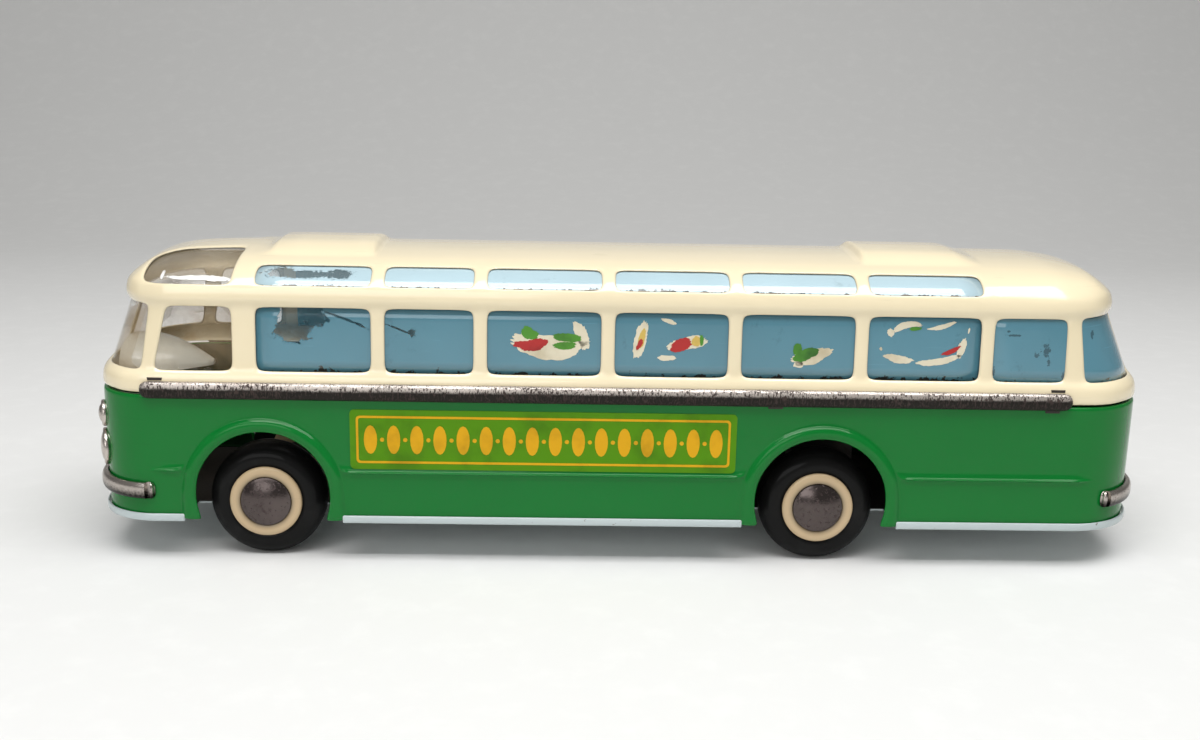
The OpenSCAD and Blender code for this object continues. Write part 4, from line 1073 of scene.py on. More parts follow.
def lower_columns():
    """Columns of the left half of the lower shell: middle of the front to middle of the rear."""
    plan = Plan(0, 0, 0)
    half = [(plan.end_x(1, y), y) for y in END_COLUMNS]
    half += [plan.corner(1, d) for d in FRONT_TURNS] + [(plan.ends[1][0], HALF_W)]
    half += [(x, HALF_W) for x in arch_columns(FRONT_AXLE_X)]
    a, b = FRONT_AXLE_X - ARCH_BLOCK, REAR_AXLE_X + ARCH_BLOCK
    half += [(a + (b - a) * k / MID_GAPS, HALF_W) for k in range(1, MID_GAPS)]
    half += [(x, HALF_W) for x in arch_columns(REAR_AXLE_X)]
    half += [(x, HALF_W) for x in REAR_SIDE_XS + (-plan.ends[-1][0],)]
    half += [plan.corner(-1, d) for d in REAR_TURNS]
    half += [(plan.end_x(-1, y), y) for y in END_COLUMNS[::-1]]
    return half


def crease_height(x, y):
    """How far the crease stands out: along the straight sides only."""
    on_side = abs(y) >= HALF_W - 0.01 and CREASE_RUN[0] < x < CREASE_RUN[1]
    return CREASE_PROUD if on_side else 0.0


def bead_row(rim, x, radius, proud):
    """Row of the bead of a left arch, along the cage's rim from front foot to rear foot."""
    last = len(rim) - 1
    start = -math.asin((ARCH_Z - FLOOR_Z) / radius)
    row = []
    for m, (px, _, pz) in enumerate(rim):
        at_foot = m in (0, last)
        even = start + (math.pi - 2 * start) * m / last
        aim = math.atan2(pz - ARCH_Z, px - x)
        aim = aim + 2 * math.pi if aim < -math.pi / 2 else aim
        a = even if at_foot else BEAD_EVEN * even + (1 - BEAD_EVEN) * aim
        cage_row = min(m, last - m)
        if proud == 0.0 and 0 < cage_row < BLOCK_ROWS - 2:
            a = math.asin((LOWER_Z[cage_row] - ARCH_Z) / radius)
            a = a if m < last / 2 else math.pi - a
        dx = radius * math.cos(a)
        if (a < 0 or a > math.pi) and radius > LEG_FROM_R:
            dx = math.copysign(max(abs(dx), radius, LEG_REACH), dx)
        z = FLOOR_Z if at_foot else max(ARCH_Z + radius * math.sin(a), FLOOR_Z)
        out = crease_height(px, HALF_W) if proud == 0.0 and cage_row == CREASE_ROW else proud
        row.append((x + dx, HALF_W + out, z))
    return row


def lower_cage():
    """Points and faces of the lower shell, with the arches' beads fitted into gaps of its grid."""
    half = lower_columns()
    ring = half + [(x, -y) for x, y in half[-2:0:-1]]
    n = len(ring)
    points, faces, lookup = [], [], {}
    for r, z in enumerate(LOWER_Z):
        for c, (x, y) in enumerate(ring):
            lookup[(r, c)] = len(points)
            out = crease_height(x, y) if r == CREASE_ROW else 0.0
            points.append((x, y + math.copysign(out, y) if out else y, z))
    starts = [half.index((x + ARCH_BLOCK, HALF_W)) for x in AXLES_X]
    span = len(TOP_OFFSETS) + 1
    blocked = {(r, c) for s in starts for k in range(span) for c in (s + k, n - 1 - s - k)
               for r in range(BLOCK_ROWS - 1)}
    for r in range(len(LOWER_Z) - 1):
        for c in range(n):
            if (r, c) not in blocked:
                d = (c + 1) % n
                corners = ((r, c), (r, d), (r + 1, d), (r + 1, c))
                faces.append(tuple(lookup[corner] for corner in corners))
    for s, x in zip(starts, AXLES_X):
        for side, _ in SIDES:
            columns = [s + k if side > 0 else (n - s - k) % n for k in range(span + 1)]
            rim = [lookup[(r, columns[0])] for r in range(BLOCK_ROWS)]
            rim += [lookup[(BLOCK_ROWS - 1, c)] for c in columns[1:-1]]
            rim += [lookup[(r, columns[-1])] for r in range(BLOCK_ROWS - 1, -1, -1)]
            previous = rim
            for radius, proud in BEAD[::-1]:
                row = list(range(len(points), len(points) + len(rim)))
                points += [(px, side * py, pz)
                           for px, py, pz in bead_row([points[k] for k in rim], x, radius, proud)]
                for a, b, c, d in zip(previous, previous[1:], row[1:], row):
                    faces.append((a, b, c, d) if side < 0 else (d, c, b, a))
                previous = row
    return points, faces


def on_arch(p, radius):
    """Whether a point lies on a circle about one of the wheel arches."""
    reaches = [math.hypot(p.x - x, p.z - ARCH_Z) for x in AXLES_X]
    return p.z >= ARCH_Z and any(abs(reach - radius) < 0.02 for reach in reaches)


def lower_shell(settings):
    points, faces = lower_cage()
    piece = new_piece("lower_shell", points, faces, finish("green paint"))
    bm, edge, sharp = open_sheet(piece)
    bmesh.ops.recalc_face_normals(bm, faces=bm.faces)
    for e in bm.edges:
        for row, weight in CREASE_WEIGHTS:
            if all(abs(v.co.z / MM - LOWER_Z[row]) < 0.01 for v in e.verts):
                e[sharp] = weight
        if all(on_arch(v.co / MM, BEAD[-2][0]) for v in e.verts):
            e[sharp] = BEAD_CREASE
    bm.normal_update()

    def inwards(v):
        at_top = at_height(v, LOWER_TOP)
        turn = FLOOR_TURN if at_height(v, FLOOR_Z) else ARCH_TURN
        reach = settings.flange / MM if at_top else turn
        inward = Vector((-v.normal.x, -v.normal.y, 0)).normalized()
        return inward * reach * MM, 0.0 if at_top else 1.0

    turn_borders(bm, edge, inwards)
    close_sheet(bm, piece, settings, "shell inside")
    settle(piece, BODY, "green_paint", "lower_body")


# Geometry trees

def geometry_tree(name, **sizes):
    """Empty geometry tree with named sizes: the tree, its inputs and where its result goes."""
    tree = bpy.data.node_groups.new(name, "GeometryNodeTree")
    face = tree.interface
    face.new_socket("Geometry", in_out="INPUT", socket_type="NodeSocketGeometry")
    for label, default in sizes.items():
        face.new_socket(label, in_out="INPUT", socket_type=VALUE).default_value = default
    face.new_socket("Geometry", in_out="OUTPUT", socket_type="NodeSocketGeometry")
    out = node(tree, "NodeGroupOutput").inputs["Geometry"]
    return tree, node(tree, "NodeGroupInput").outputs, out


def chain(tree, kind, geometry, socket="Geometry", **values):
    """New node that takes geometry in at a socket."""
    made = node(tree, kind, **values)
    tree.links.new(geometry, made.inputs[socket])
    return made


def stand_on_points(tree, shape, source):
    """Stands a flat shape up, to face out of the side, on every point of the object."""
    stand = chain(tree, "GeometryNodeTransform", shape, _Rotation=(math.radians(-90), 0.0, 0.0))
    spots = chain(tree, "GeometryNodeMeshToPoints", source["Geometry"], "Mesh", mode="VERTICES")
    copies = chain(tree, "GeometryNodeInstanceOnPoints", spots.outputs["Points"], "Points")
    tree.links.new(stand.outputs["Geometry"], copies.inputs["Instance"])
    return copies.outputs["Instances"]


def end_tree(tree, geometry, material, out):
    """Ends a tree in Realize Instances and Set Material."""
    real = chain(tree, "GeometryNodeRealizeInstances", geometry)
    coat = chain(tree, "GeometryNodeSetMaterial", real.outputs["Geometry"], _Material=material)
    tree.links.new(coat.outputs["Geometry"], out)


STRIP_POINTS = 40
STRIP_ROUND = (0.75, 0.8)
STRIP_SHARP = 75


def strip_tree(material):
    """Geometry nodes: a bulged strip swept along the object's own path."""
    tree, source, out = geometry_tree("swept strip", Height=4.4 * MM, Depth=1.7 * MM, Edge=0.3)
    path = chain(tree, "GeometryNodeMeshToCurve", source["Geometry"], "Mesh")
    upright = chain(tree, "GeometryNodeSetCurveNormal", path.outputs["Curve"], "Curve", mode="Z_UP")

    # Bulged profile: a rounded loop, cut flat at the back, which lies on the path
    arc = node(tree, "GeometryNodeCurvePrimitiveCircle", mode="RADIUS", _Resolution=STRIP_POINTS,
               _Radius=1.0)
    parts = node(tree, "ShaderNodeSeparateXYZ")
    tree.links.new(node(tree, "GeometryNodeInputPosition").outputs[0], parts.inputs[0])

    def calc(operation, a, b=None):
        return math_node(tree, operation, a, b)

    def swell(value, power):
        return calc("MULTIPLY", calc("SIGN", value), calc("POWER", calc("ABSOLUTE", value), power))

    half_height = calc("MULTIPLY", source["Height"], 0.5)
    across = calc("MULTIPLY", swell(parts.outputs["X"], STRIP_ROUND[0]), half_height)
    back = calc("MULTIPLY", source["Edge"], -1.0)
    rise = calc("MAXIMUM", swell(parts.outputs["Y"], STRIP_ROUND[1]), back)
    share = calc("DIVIDE", calc("ADD", rise, source["Edge"]), calc("ADD", 1.0, source["Edge"]))
    join = node(tree, "ShaderNodeCombineXYZ")
    tree.links.new(calc("MULTIPLY", share, source["Depth"]), join.inputs["X"])
    tree.links.new(across, join.inputs["Y"])
    moved = chain(tree, "GeometryNodeSetPosition", arc.outputs["Curve"])
    tree.links.new(join.outputs[0], moved.inputs["Position"])
    sweep = chain(tree, "GeometryNodeCurveToMesh", upright.outputs["Curve"], "Curve",
                  _Fill_Caps=True)
    tree.links.new(moved.outputs["Geometry"], sweep.inputs["Profile Curve"])
    end_tree(tree, sweep.outputs["Mesh"], material, out)
    return tree


def ornament_tree(material):
    """Geometry nodes: a raised lozenge on each point, or a dot where it is as high as long."""
    tree, source, out = geometry_tree("sign ornament", Length=3 * MM, Height=7 * MM,
                                      Thickness=ORNAMENT_T * MM)
    circle = node(tree, "GeometryNodeMeshCircle", fill_type="NGON", _Vertices=16, _Radius=1.0)
    size = node(tree, "ShaderNodeCombineXYZ", _Z=1.0)
    for socket, label in (("X", "Length"), ("Y", "Height")):
        tree.links.new(times(tree, source[label], 0.5), size.inputs[socket])
    shaped = chain(tree, "GeometryNodeTransform", circle.outputs["Mesh"])
    tree.links.new(size.outputs[0], shaped.inputs["Scale"])
    thick = chain(tree, "GeometryNodeExtrudeMesh", shaped.outputs["Geometry"], "Mesh", mode="FACES")
    tree.links.new(source["Thickness"], thick.inputs["Offset Scale"])
    end_tree(tree, stand_on_points(tree, thick.outputs["Mesh"], source), material, out)
    return tree


TAB_TOP = 0.86


def tab_tree(material):
    """Geometry nodes: a small tab plate with drawn-in edges on each point."""
    tree, source, out = geometry_tree("folded tab", Length=4 * MM, Height=0.8 * MM, Proud=0.3 * MM)
    block = node(tree, "GeometryNodeMeshGrid", _Vertices_X=7, _Vertices_Y=4)
    for socket, label in (("Size X", "Length"), ("Size Y", "Height")):
        tree.links.new(source[label], block.inputs[socket])
    lift = chain(tree, "GeometryNodeExtrudeMesh", block.outputs["Mesh"], "Mesh", mode="FACES",
                 _Individual=False)
    tree.links.new(source["Proud"], lift.inputs["Offset Scale"])
    drop = chain(tree, "GeometryNodeScaleElements", lift.outputs["Mesh"], _Scale=TAB_TOP)
    tree.links.new(lift.outputs["Top"], drop.inputs["Selection"])
    end_tree(tree, stand_on_points(tree, drop.outputs["Geometry"], source), material, out)
    return tree


def socket_of(tree, label):
    return next(s.identifier for s in tree.interface.items_tree
                if s.item_type == "SOCKET" and s.in_out == "INPUT" and s.name == label)


def apply_tree(piece, tree, **values):
    """Runs a geometry tree on a piece and keeps the result as its plain mesh."""
    modifier = piece.modifiers.new("build", "NODES")
    modifier.node_group = tree
    for label, value in values.items():
        modifier[socket_of(tree, label.replace("_", " "))] = value
    bpy.context.view_layer.update()
    graph = bpy.context.evaluated_depsgraph_get()
    mesh = bpy.data.meshes.new_from_object(piece.evaluated_get(graph))
    piece.modifiers.remove(modifier)
    piece.data = mesh


def merged(piece, smooth=True, angle=None):
    """Merges doubles, closes open backs, points the faces outwards and shades a piece."""
    bm = bmesh.new()
    bm.from_mesh(piece.data)
    bmesh.ops.remove_doubles(bm, verts=bm.verts, dist=2 * SAME_POINT)
    bmesh.ops.holes_fill(bm, edges=[e for e in bm.edges if e.is_boundary], sides=0)
    bmesh.ops.recalc_face_normals(bm, faces=bm.faces)
    for f in bm.faces:
        f.smooth = smooth
    bm.to_mesh(piece.data)
    bm.free()
    if angle is not None:
        piece.data.set_sharp_from_angle(angle=math.radians(angle))
    return piece


def on_points(name, spots, tree, side, turn=Matrix.Identity(4), **sizes):
    """Copies of a tree's shape on points of the left side, turned, and mirrored for the right."""
    mesh = bpy.data.meshes.new(name)
    mesh.from_pydata([tuple(c * MM for c in p) for p in spots], [], [])
    piece = link(name, mesh)
    apply_tree(piece, tree, **sizes)
    piece.data.transform(Matrix.Diagonal((1, side, 1, 1)) @ turn)
    return merged(piece, smooth=False)


# Rails and bumpers

def path_piece(name, paths, material):
    """Loose edges along paths of points, for a geometry tree to follow."""
    points, edges = [], []
    for path in paths:
        first = len(points)
        points += path
        edges += [(first + i, first + i + 1) for i in range(len(path) - 1)]
    mesh = bpy.data.meshes.new(name)
    mesh.from_pydata([tuple(c * MM for c in p) for p in points], edges, [])
    mesh.materials.append(material)
    return link(name, mesh)


# Ends of a strip: distance from its tip and share of the full section there
BLUNT_ENDS = ((0.0, 0.55), (0.12, 0.78), (0.35, 0.92), (0.7, 0.98), (1.2, 1.0))
ROUND_ENDS = ((0.0, 0.3), (0.12, 0.45), (0.4, 0.65), (0.8, 0.81), (1.4, 0.94), (2.2, 1.0))


def with_end_steps(path, ends):
    """The path with close points at both ends, where its strip is rounded off."""
    a, b, c, d = (Vector(path[i]) for i in (0, 1, -2, -1))
    head = [tuple(a + (b - a).normalized() * k) for k, _ in ends]
    tail = [tuple(d + (c - d).normalized() * k) for k, _ in ends[::-1]]
    return head + path[1:-1] + tail


def rounded_strip(name, path, tree, material, height, depth, edge, ends):
    """Strip swept along a path with its two ends drawn in."""
    path = with_end_steps(path, ends)
    piece = path_piece(name, [path], material)
    apply_tree(piece, tree, Height=height, Depth=depth, Edge=edge)
    per_ring = len(piece.data.vertices) // len(path)
    for i, v in enumerate(piece.data.vertices):
        ring = i // per_ring
        k = ends[min(ring, len(path) - 1 - ring, len(ends) - 1)][1]
        v.co = Vector(path[ring]) * MM + (v.co - Vector(path[ring]) * MM) * k
    return merged(piece, angle=STRIP_SHARP)


RAIL_STEPS, RAIL_EDGE, RAIL_OFF = 60, 0.25, 0.05
BUMPER_H, BUMPER_D, BUMPER_EDGE, BUMPER_OFF = 4.4, 1.5, 0.2, 0.2
BUMPER_ENDS = ((1, "front", 0.0), (-1, "rear", 23.0))


def belt_rails(settings):
    nickel = finish("rail nickel")
    tree = strip_tree(nickel)
    for side, word in SIDES:
        xs = [RAIL_FRONT - (RAIL_FRONT - RAIL_REAR) * i / RAIL_STEPS for i in range(RAIL_STEPS + 1)]
        path = [(x, side * (HALF_W + RAIL_OFF), RAIL_Z) for x in xs[::side]]
        piece = rounded_strip(f"{word}_plated_rail", path, tree, nickel, settings.rail_height,
                              settings.rail_depth, RAIL_EDGE, ROUND_ENDS)
        settle(piece, BODY, "nickel_plate", f"{word}_belt_rail")


def bumpers(settings):
    nickel = finish("bumper nickel")
    tree = strip_tree(nickel)
    for end, word, last in BUMPER_ENDS:
        path = Plan(0, 0, 0, -BUMPER_OFF).end_path(end, last=last, corner_n=22, bow_n=14)
        path = [(x, y, settings.bumper_height / MM) for x, y in path[::-end]]
        piece = rounded_strip(f"{word}_plated_bumper", path, tree, nickel, BUMPER_H * MM,
                              BUMPER_D * MM, BUMPER_EDGE, BLUNT_ENDS)
        settle(piece, BODY, "nickel_plate", f"{word}_bumper")


# Base pan

PAN_NOTCH, PAN_NOTCH_Y = 20.3, 18.4
MOTOR_WINDOW = ((-59.6, -7.6), (-42.0, -7.6), (-42.0, 7.6), (-59.6, 7.6))
PAN_FLOOR_Z, PAN_HALF_T, PAN_OFF = 10.75, 0.25, 0.1
RIM_Z, RIM_H, RIM_D, RIM_EDGE = 11.4, 2.0, 0.7, 0.8
RIM_STEPS, RIM_SHARP = 20, 50


def notched_outline(plan):
    """Left half of the pan's outline with its wheel notches, from front to rear."""
    front, rear = ([p for p in plan.end_path(end) if p[1] >= 0] for end in (1, -1))
    half = front[::-1]
    for x in AXLES_X:
        a, b = x + PAN_NOTCH, x - PAN_NOTCH
        half += [(a, plan.w), (a, PAN_NOTCH_Y), (b, PAN_NOTCH_Y), (b, plan.w)]
    return half + rear


def pan_floor():
    """Flat floor of the pan as a filled curve with the motor's window, made a mesh."""
    half = notched_outline(Plan(0, 0, 0, PAN_OFF))
    curve = bpy.data.curves.new("pan floor", "CURVE")
    curve.dimensions, curve.fill_mode = "2D", "BOTH"
    curve.extrude = PAN_HALF_T * MM
    for points in (half + [(x, -y) for x, y in half[-2:0:-1]], MOTOR_WINDOW):
        spline = curve.splines.new("POLY")
        spline.points.add(len(points) - 1)
        for p, (x, y) in zip(spline.points, points):
            p.co = (x * MM, y * MM, 0.0, 1.0)
        spline.use_cyclic_u = True
    flat = link("pan floor", curve)
    bpy.context.view_layer.update()
    graph = bpy.context.evaluated_depsgraph_get()
    mesh = bpy.data.meshes.new_from_object(flat.evaluated_get(graph))
    bpy.data.objects.remove(flat)
    mesh.transform(Matrix.Translation((0, 0, PAN_FLOOR_Z * MM)))
    return mesh


def base_pan():
    pale = finish("pale paint")
    mesh = pan_floor()
    floor_piece = link("pan_floor", mesh)
    mesh.materials.clear()
    mesh.materials.append(pale)
    merged(floor_piece, smooth=False)
    # Faces that look up take the dark finish: painted shade over the inside of the pan
    mesh.materials.append(finish("dark tin"))
    for f in mesh.polygons:
        f.material_index = 1 if f.normal.z > 0.5 else 0

    # Rim: four runs between the wheel notches
    plan = Plan(0, 0, 0, -PAN_OFF)
    front = plan.end_path(1, FRONT_AXLE_X + PAN_NOTCH, corner_n=16, bow_n=10)[::-1]
    rear = plan.end_path(-1, REAR_AXLE_X - PAN_NOTCH, corner_n=16, bow_n=10)
    a, b = FRONT_AXLE_X - PAN_NOTCH, REAR_AXLE_X + PAN_NOTCH
    left = [(a + (b - a) * i / RIM_STEPS, plan.w) for i in range(RIM_STEPS + 1)]
    right = [(x, -y) for x, y in left[::-1]]
    runs = [[(x, y, RIM_Z) for x, y in run] for run in (front, left, rear, right)]
    rim = path_piece("pan_rim", runs, pale)
    apply_tree(rim, strip_tree(pale), Height=RIM_H * MM, Depth=RIM_D * MM, Edge=RIM_EDGE)
    merged(rim, angle=RIM_SHARP)
    settle(rim, BODY, "pale_paint")
    settle(floor_piece, BODY, "pale_paint", "base_pan")


# Celluloid

GLASS_LOW, GLASS_HIGH = 49.5, 66.9
SCREEN_LAP = 1.3
SIDE_SHEET_X, REAR_SHEET_X = (95.4, -91.4), -92.4
ROOF_SHEET_Z = (71.3, 77.1)
CORNER_SHEET_X, CORNER_SHEET_Y = (98.4, 124.2), 7.2
CORNER_STEPS, SIDE_STEPS, ROOF_STEPS, BAND_STEPS = 14, 24, 8, 5
END_STEPS = {"corner_n": 14, "bow_n": 10}
WORN_SILL, WORN_ROOF_SILL = 2.0, 1.0


def spread(ends, steps):
    """Even steps from one end to the other."""
    a, b = ends
    return [a + (b - a) * i / steps for i in range(steps + 1)]


def sheet_piece(name, rows, look, thickness):
    """Sheet of celluloid through rows of points."""
    faces = grid_faces(len(rows), len(rows[0]))
    piece = new_piece(name, [p for row in rows for p in row], faces, finish(look))
    solidify(piece, thickness)
    return piece


def band_rows(path_of):
    """Rows of a sheet in the window band, from the path that it follows at each height."""
    return [[(x, y, z) for x, y in path_of(z)] for z in spread((GLASS_LOW, GLASS_HIGH), BAND_STEPS)]


def mark_sill(piece, low, reach):
    """Marks the lower edge of a sheet, where its paint has worn most."""
    mark(piece, "edge", [max(0.0, 1.0 - (v.co.z / MM - low) / reach) for v in piece.data.vertices])


def roof_inner(x, y, depth, side):
    """Point under the roof at a depth square to its skin."""
    d = 0.05
    z = roof_height(x, y)
    gx = (roof_height(x + d, y) - roof_height(x - d, y)) / (2 * d)
    gy = (roof_height(x, y) - roof_height(x, y - d)) / d
    n = Vector((-gx, -gy, 1)).normalized()
    return x - n.x * depth, side * (y - n.y * depth), z - n.z * depth


def clear_glazing(settings):
    depth, thick = settings.glass_depth / MM, settings.celluloid / MM
    rows = band_rows(lambda z: glass_plan(z, depth).end_path(1, CAB_REAR - SCREEN_LAP, **END_STEPS))
    screen = sheet_piece("windscreen_sheet", rows, "screen celluloid", thick)
    settle(screen, BODY, "clear_celluloid", "windscreen")
    s = spread_of(ROOF_SHEET_Z[0])
    for side, word in SIDES:
        rows = []
        for x in spread(CORNER_SHEET_X, CORNER_STEPS):
            spine = min(max(x, SPINE_REAR), SPINE_FRONT)
            width = ROOF_PLAN.side_y(spine + (x - spine) / s) * s - CORNER_SHEET_Y
            rows.append([roof_inner(x, CORNER_SHEET_Y + width * math.sin(a), depth, side)
                         for a in spread((0.0, math.pi / 2), CORNER_STEPS)])
        piece = sheet_piece(f"{word}_corner_sheet", rows[::-side], "clear celluloid", thick)
        settle(piece, BODY, "clear_celluloid", f"{word}_corner_window")


def blue_glazing(settings):
    depth, thick = settings.glass_depth / MM, settings.celluloid / MM
    rows = band_rows(lambda z: glass_plan(z, depth).end_path(-1, REAR_SHEET_X, **END_STEPS)[::-1])
    rear = sheet_piece("rear_sheet", rows, "rear blue", thick)
    mark_sill(rear, SILL_Z, WORN_SILL)
    settle(rear, BODY, "blue_celluloid", "rear_window")
    for side, word in SIDES:
        xs = spread(SIDE_SHEET_X, SIDE_STEPS)[::side]
        rows = band_rows(lambda z: [(x, side * glass_plan(z, depth).w) for x in xs])
        piece = sheet_piece(f"{word}_side_sheet", rows, "side blue", thick)
        mark_sill(piece, SILL_Z, WORN_SILL)
        settle(piece, BODY, "blue_celluloid", f"{word}_side_windows")
        rows = [[roof_inner(x, ROOF_PLAN.w * spread_of(z), depth, side) for x in xs]
                for z in spread(ROOF_SHEET_Z, ROOF_STEPS)]
        piece = sheet_piece(f"{word}_roof_sheet", rows, "roof blue", thick)
        mark_sill(piece, ROOF_SILL_Z, WORN_ROOF_SILL)
        settle(piece, BODY, "blue_celluloid", f"{word}_roof_windows")


# Torn paper on the windows

SCRAP_POINTS, SCRAP_WAVES = 56, 7
WAVE_SIZE, TEAR_SIZE = 0.13, 0.08
SCRAP_LOW, SCRAP_TOP, SCRAP_LAYER = 0.02, 0.055, 0.03


def torn_outline(length, height, bend, seed):
    """Ragged outline of a torn scrap: a bent ellipse with a torn edge."""
    draw = random.Random(seed)
    waves = [(draw.uniform(-1, 1), draw.uniform(-1, 1)) for _ in range(SCRAP_WAVES)]
    outline = []
    for i in range(SCRAP_POINTS):
        a = 2 * math.pi * i / SCRAP_POINTS
        r = 1 + sum(WAVE_SIZE / (k + 1) * (p * math.cos((k + 2) * a) + q * math.sin((k + 2) * a))
                    for k, (p, q) in enumerate(waves)) + draw.uniform(-TEAR_SIZE, TEAR_SIZE)
        u, v = r * length / 2 * math.cos(a), r * height / 2 * math.sin(a)
        outline.append((u, v + bend * (u / length * 2) ** 2))
    return outline


def scrap(bm, depth, x, z, length, height, turn, bend, seed, layer, material_index):
    """One torn scrap on the left side windows, a thin closed plate on the celluloid."""
    c, s = math.cos(math.radians(turn)), math.sin(math.radians(turn))
    outline = [(x + u * c - v * s, z + u * s + v * c)
               for u, v in torn_outline(length, height, bend, seed)]

    def ring(lift):
        places = [(px, glass_plan(pz, depth).w + lift + SCRAP_LAYER * layer, pz)
                  for px, pz in outline]
        return [bm.verts.new(Vector(place) * MM) for place in places]

    low, top, n = ring(SCRAP_LOW), ring(SCRAP_TOP), len(outline)
    faces = [bm.faces.new((low[i], low[(i + 1) % n], top[(i + 1) % n], top[i])) for i in range(n)]
    faces += [bm.faces.new(top), bm.faces.new(low[::-1])]
    for f in faces:
        f.material_index = material_index


# Scraps: place, length, height, turn, bend, seed, layer and colour
PAPER, RED, GREEN, YELLOW = range(4)
SCRAPS = (
    (20.6, 57.0, 20.0, 5.6, 4, 1.6, 3, 0, PAPER), (12.0, 60.2, 3.4, 7.0, -16, 0.0, 8, 0, PAPER),
    (24.6, 57.6, 8.4, 3.0, -8, 0.4, 5, 1, RED), (25.2, 60.6, 4.6, 3.0, 30, 0.0, 9, 1, GREEN),
    (15.6, 59.6, 7.4, 2.2, 2, 0.3, 12, 1, GREEN), (16.2, 57.6, 6.4, 1.8, -4, 0.0, 14, 1, GREEN),
    (-3.0, 59.4, 3.4, 9.0, 14, 0.0, 21, 0, PAPER), (-3.4, 59.8, 1.5, 5.4, 16, 0.0, 23, 1, YELLOW),
    (-2.8, 58.2, 1.1, 3.2, 30, 0.0, 24, 2, RED), (-10.2, 64.2, 4.0, 1.1, 14, 0.0, 25, 0, PAPER),
    (-9.8, 54.8, 4.4, 1.5, 2, 0.0, 26, 0, PAPER), (-15.0, 58.6, 10.0, 3.4, -14, 0.0, 27, 0, PAPER),
    (-13.4, 58.2, 6.0, 3.0, -14, 0.0, 28, 1, RED), (-17.2, 59.2, 2.2, 2.6, -8, 0.0, 29, 2, YELLOW),
    (-18.6, 59.5, 1.0, 2.8, -4, 0.0, 30, 2, GREEN),
    (-46.8, 55.6, 11.0, 3.6, -12, 0.3, 41, 0, PAPER),
    (-45.4, 56.2, 6.6, 3.0, -14, 0.0, 42, 1, GREEN),
    (-43.2, 57.6, 2.6, 2.6, 20, 0.0, 43, 2, GREEN), (-43.6, 53.6, 2.6, 1.6, 0, 0.0, 44, 0, PAPER),
    (-70.8, 64.3, 8.2, 1.6, -14, -1.3, 51, 0, PAPER),
    (-66.9, 62.2, 1.5, 2.4, -20, 0.0, 56, 0, PAPER),
    (-73.2, 63.3, 3.4, 0.9, -6, 0.0, 57, 1, GREEN), (-80.2, 63.9, 6.4, 1.3, -14, 0.3, 52, 0, PAPER),
    (-69.2, 55.4, 7.4, 2.1, 7, 0.2, 53, 0, PAPER), (-79.6, 54.9, 11.5, 1.8, -9, 0.5, 58, 0, PAPER),
    (-85.4, 58.4, 1.8, 5.8, 12, 0.0, 54, 0, PAPER), (-82.8, 57.6, 5.6, 1.1, -28, 0.3, 55, 1, RED),
    (-64.6, 58.0, 0.7, 0.8, 0, 0.0, 59, 0, PAPER), (-87.0, 63.0, 0.5, 1.4, 10, 0.0, 60, 0, PAPER),
)


def torn_scraps(settings):
    mesh = bpy.data.meshes.new("torn_scraps")
    for name in ("paper", "red print", "green print", "yellow print"):
        mesh.materials.append(finish(name))
    bm = bmesh.new()
    for values in SCRAPS:
        scrap(bm, settings.glass_depth / MM, *values)
    bmesh.ops.recalc_face_normals(bm, faces=bm.faces)
    bm.to_mesh(mesh)
    bm.free()
    settle(link("torn_scraps", mesh), BODY, "blue_celluloid")


# Signs

SIGN_CORNER = 1.2
LINE_OUTER, LINE_INNER = (1.6, 1.0), (2.2, 0.6)
SIGN_PLANES, LINE_PLANES, ORNAMENT_OFF = (0.02, 0.15), (0.14, 0.22), 0.16
ORNAMENT_PITCH, ORNAMENT_T = 5.9, 0.08
ORNAMENTS = (("lozenges", 16, 3.4, 7.6), ("dots", 15, 1.1, 1.1))


def sign_loop(inset, r, n=6):
    """Rounded outline at an inset from the edges of a sign, with corners of n steps."""
    x0, x1 = SIGN_MID - SIGN_L / 2 + inset, SIGN_MID + SIGN_L / 2 - inset
    z0, z1 = SIGN_LOW + inset, SIGN_LOW + SIGN_H - inset
    corners = ((x1 - r, z1 - r, 0), (x0 + r, z1 - r, 90), (x0 + r, z0 + r, 180),
               (x1 - r, z0 + r, 270))
    turns = [(cx, cz, math.radians(a + 90 * i / n)) for cx, cz, a in corners for i in range(n + 1)]
    return [(cx + r * math.cos(a), cz + r * math.sin(a)) for cx, cz, a in turns]


def sign_plate(name, side, look, planes, outline, hole=None):
    """Flat plate on a side between two planes, with an optional hole of as many points."""
    n = len(outline)
    y0, y1 = (HALF_W + y for y in planes)
    rings = [(outline, y0), (outline, y1)] + ([(hole, y1), (hole, y0)] if hole else [])
    points = [(x, side * y, z) for ring, y in rings for x, z in ring]
    if hole:
        faces = [(a * n + i, b * n + i, b * n + (i + 1) % n, a * n + (i + 1) % n)
                 for a, b in ((0, 1), (1, 2), (2, 3), (3, 0)) for i in range(n)]
    else:
        faces = [tuple(range(n)), tuple(range(2 * n - 1, n - 1, -1))]
        faces += [(i, n + i, n + (i + 1) % n, (i + 1) % n) for i in range(n)]
    piece = new_piece(name, points, [f[::side] for f in faces], finish(look), smooth=False)
    return merged(piece, smooth=False)


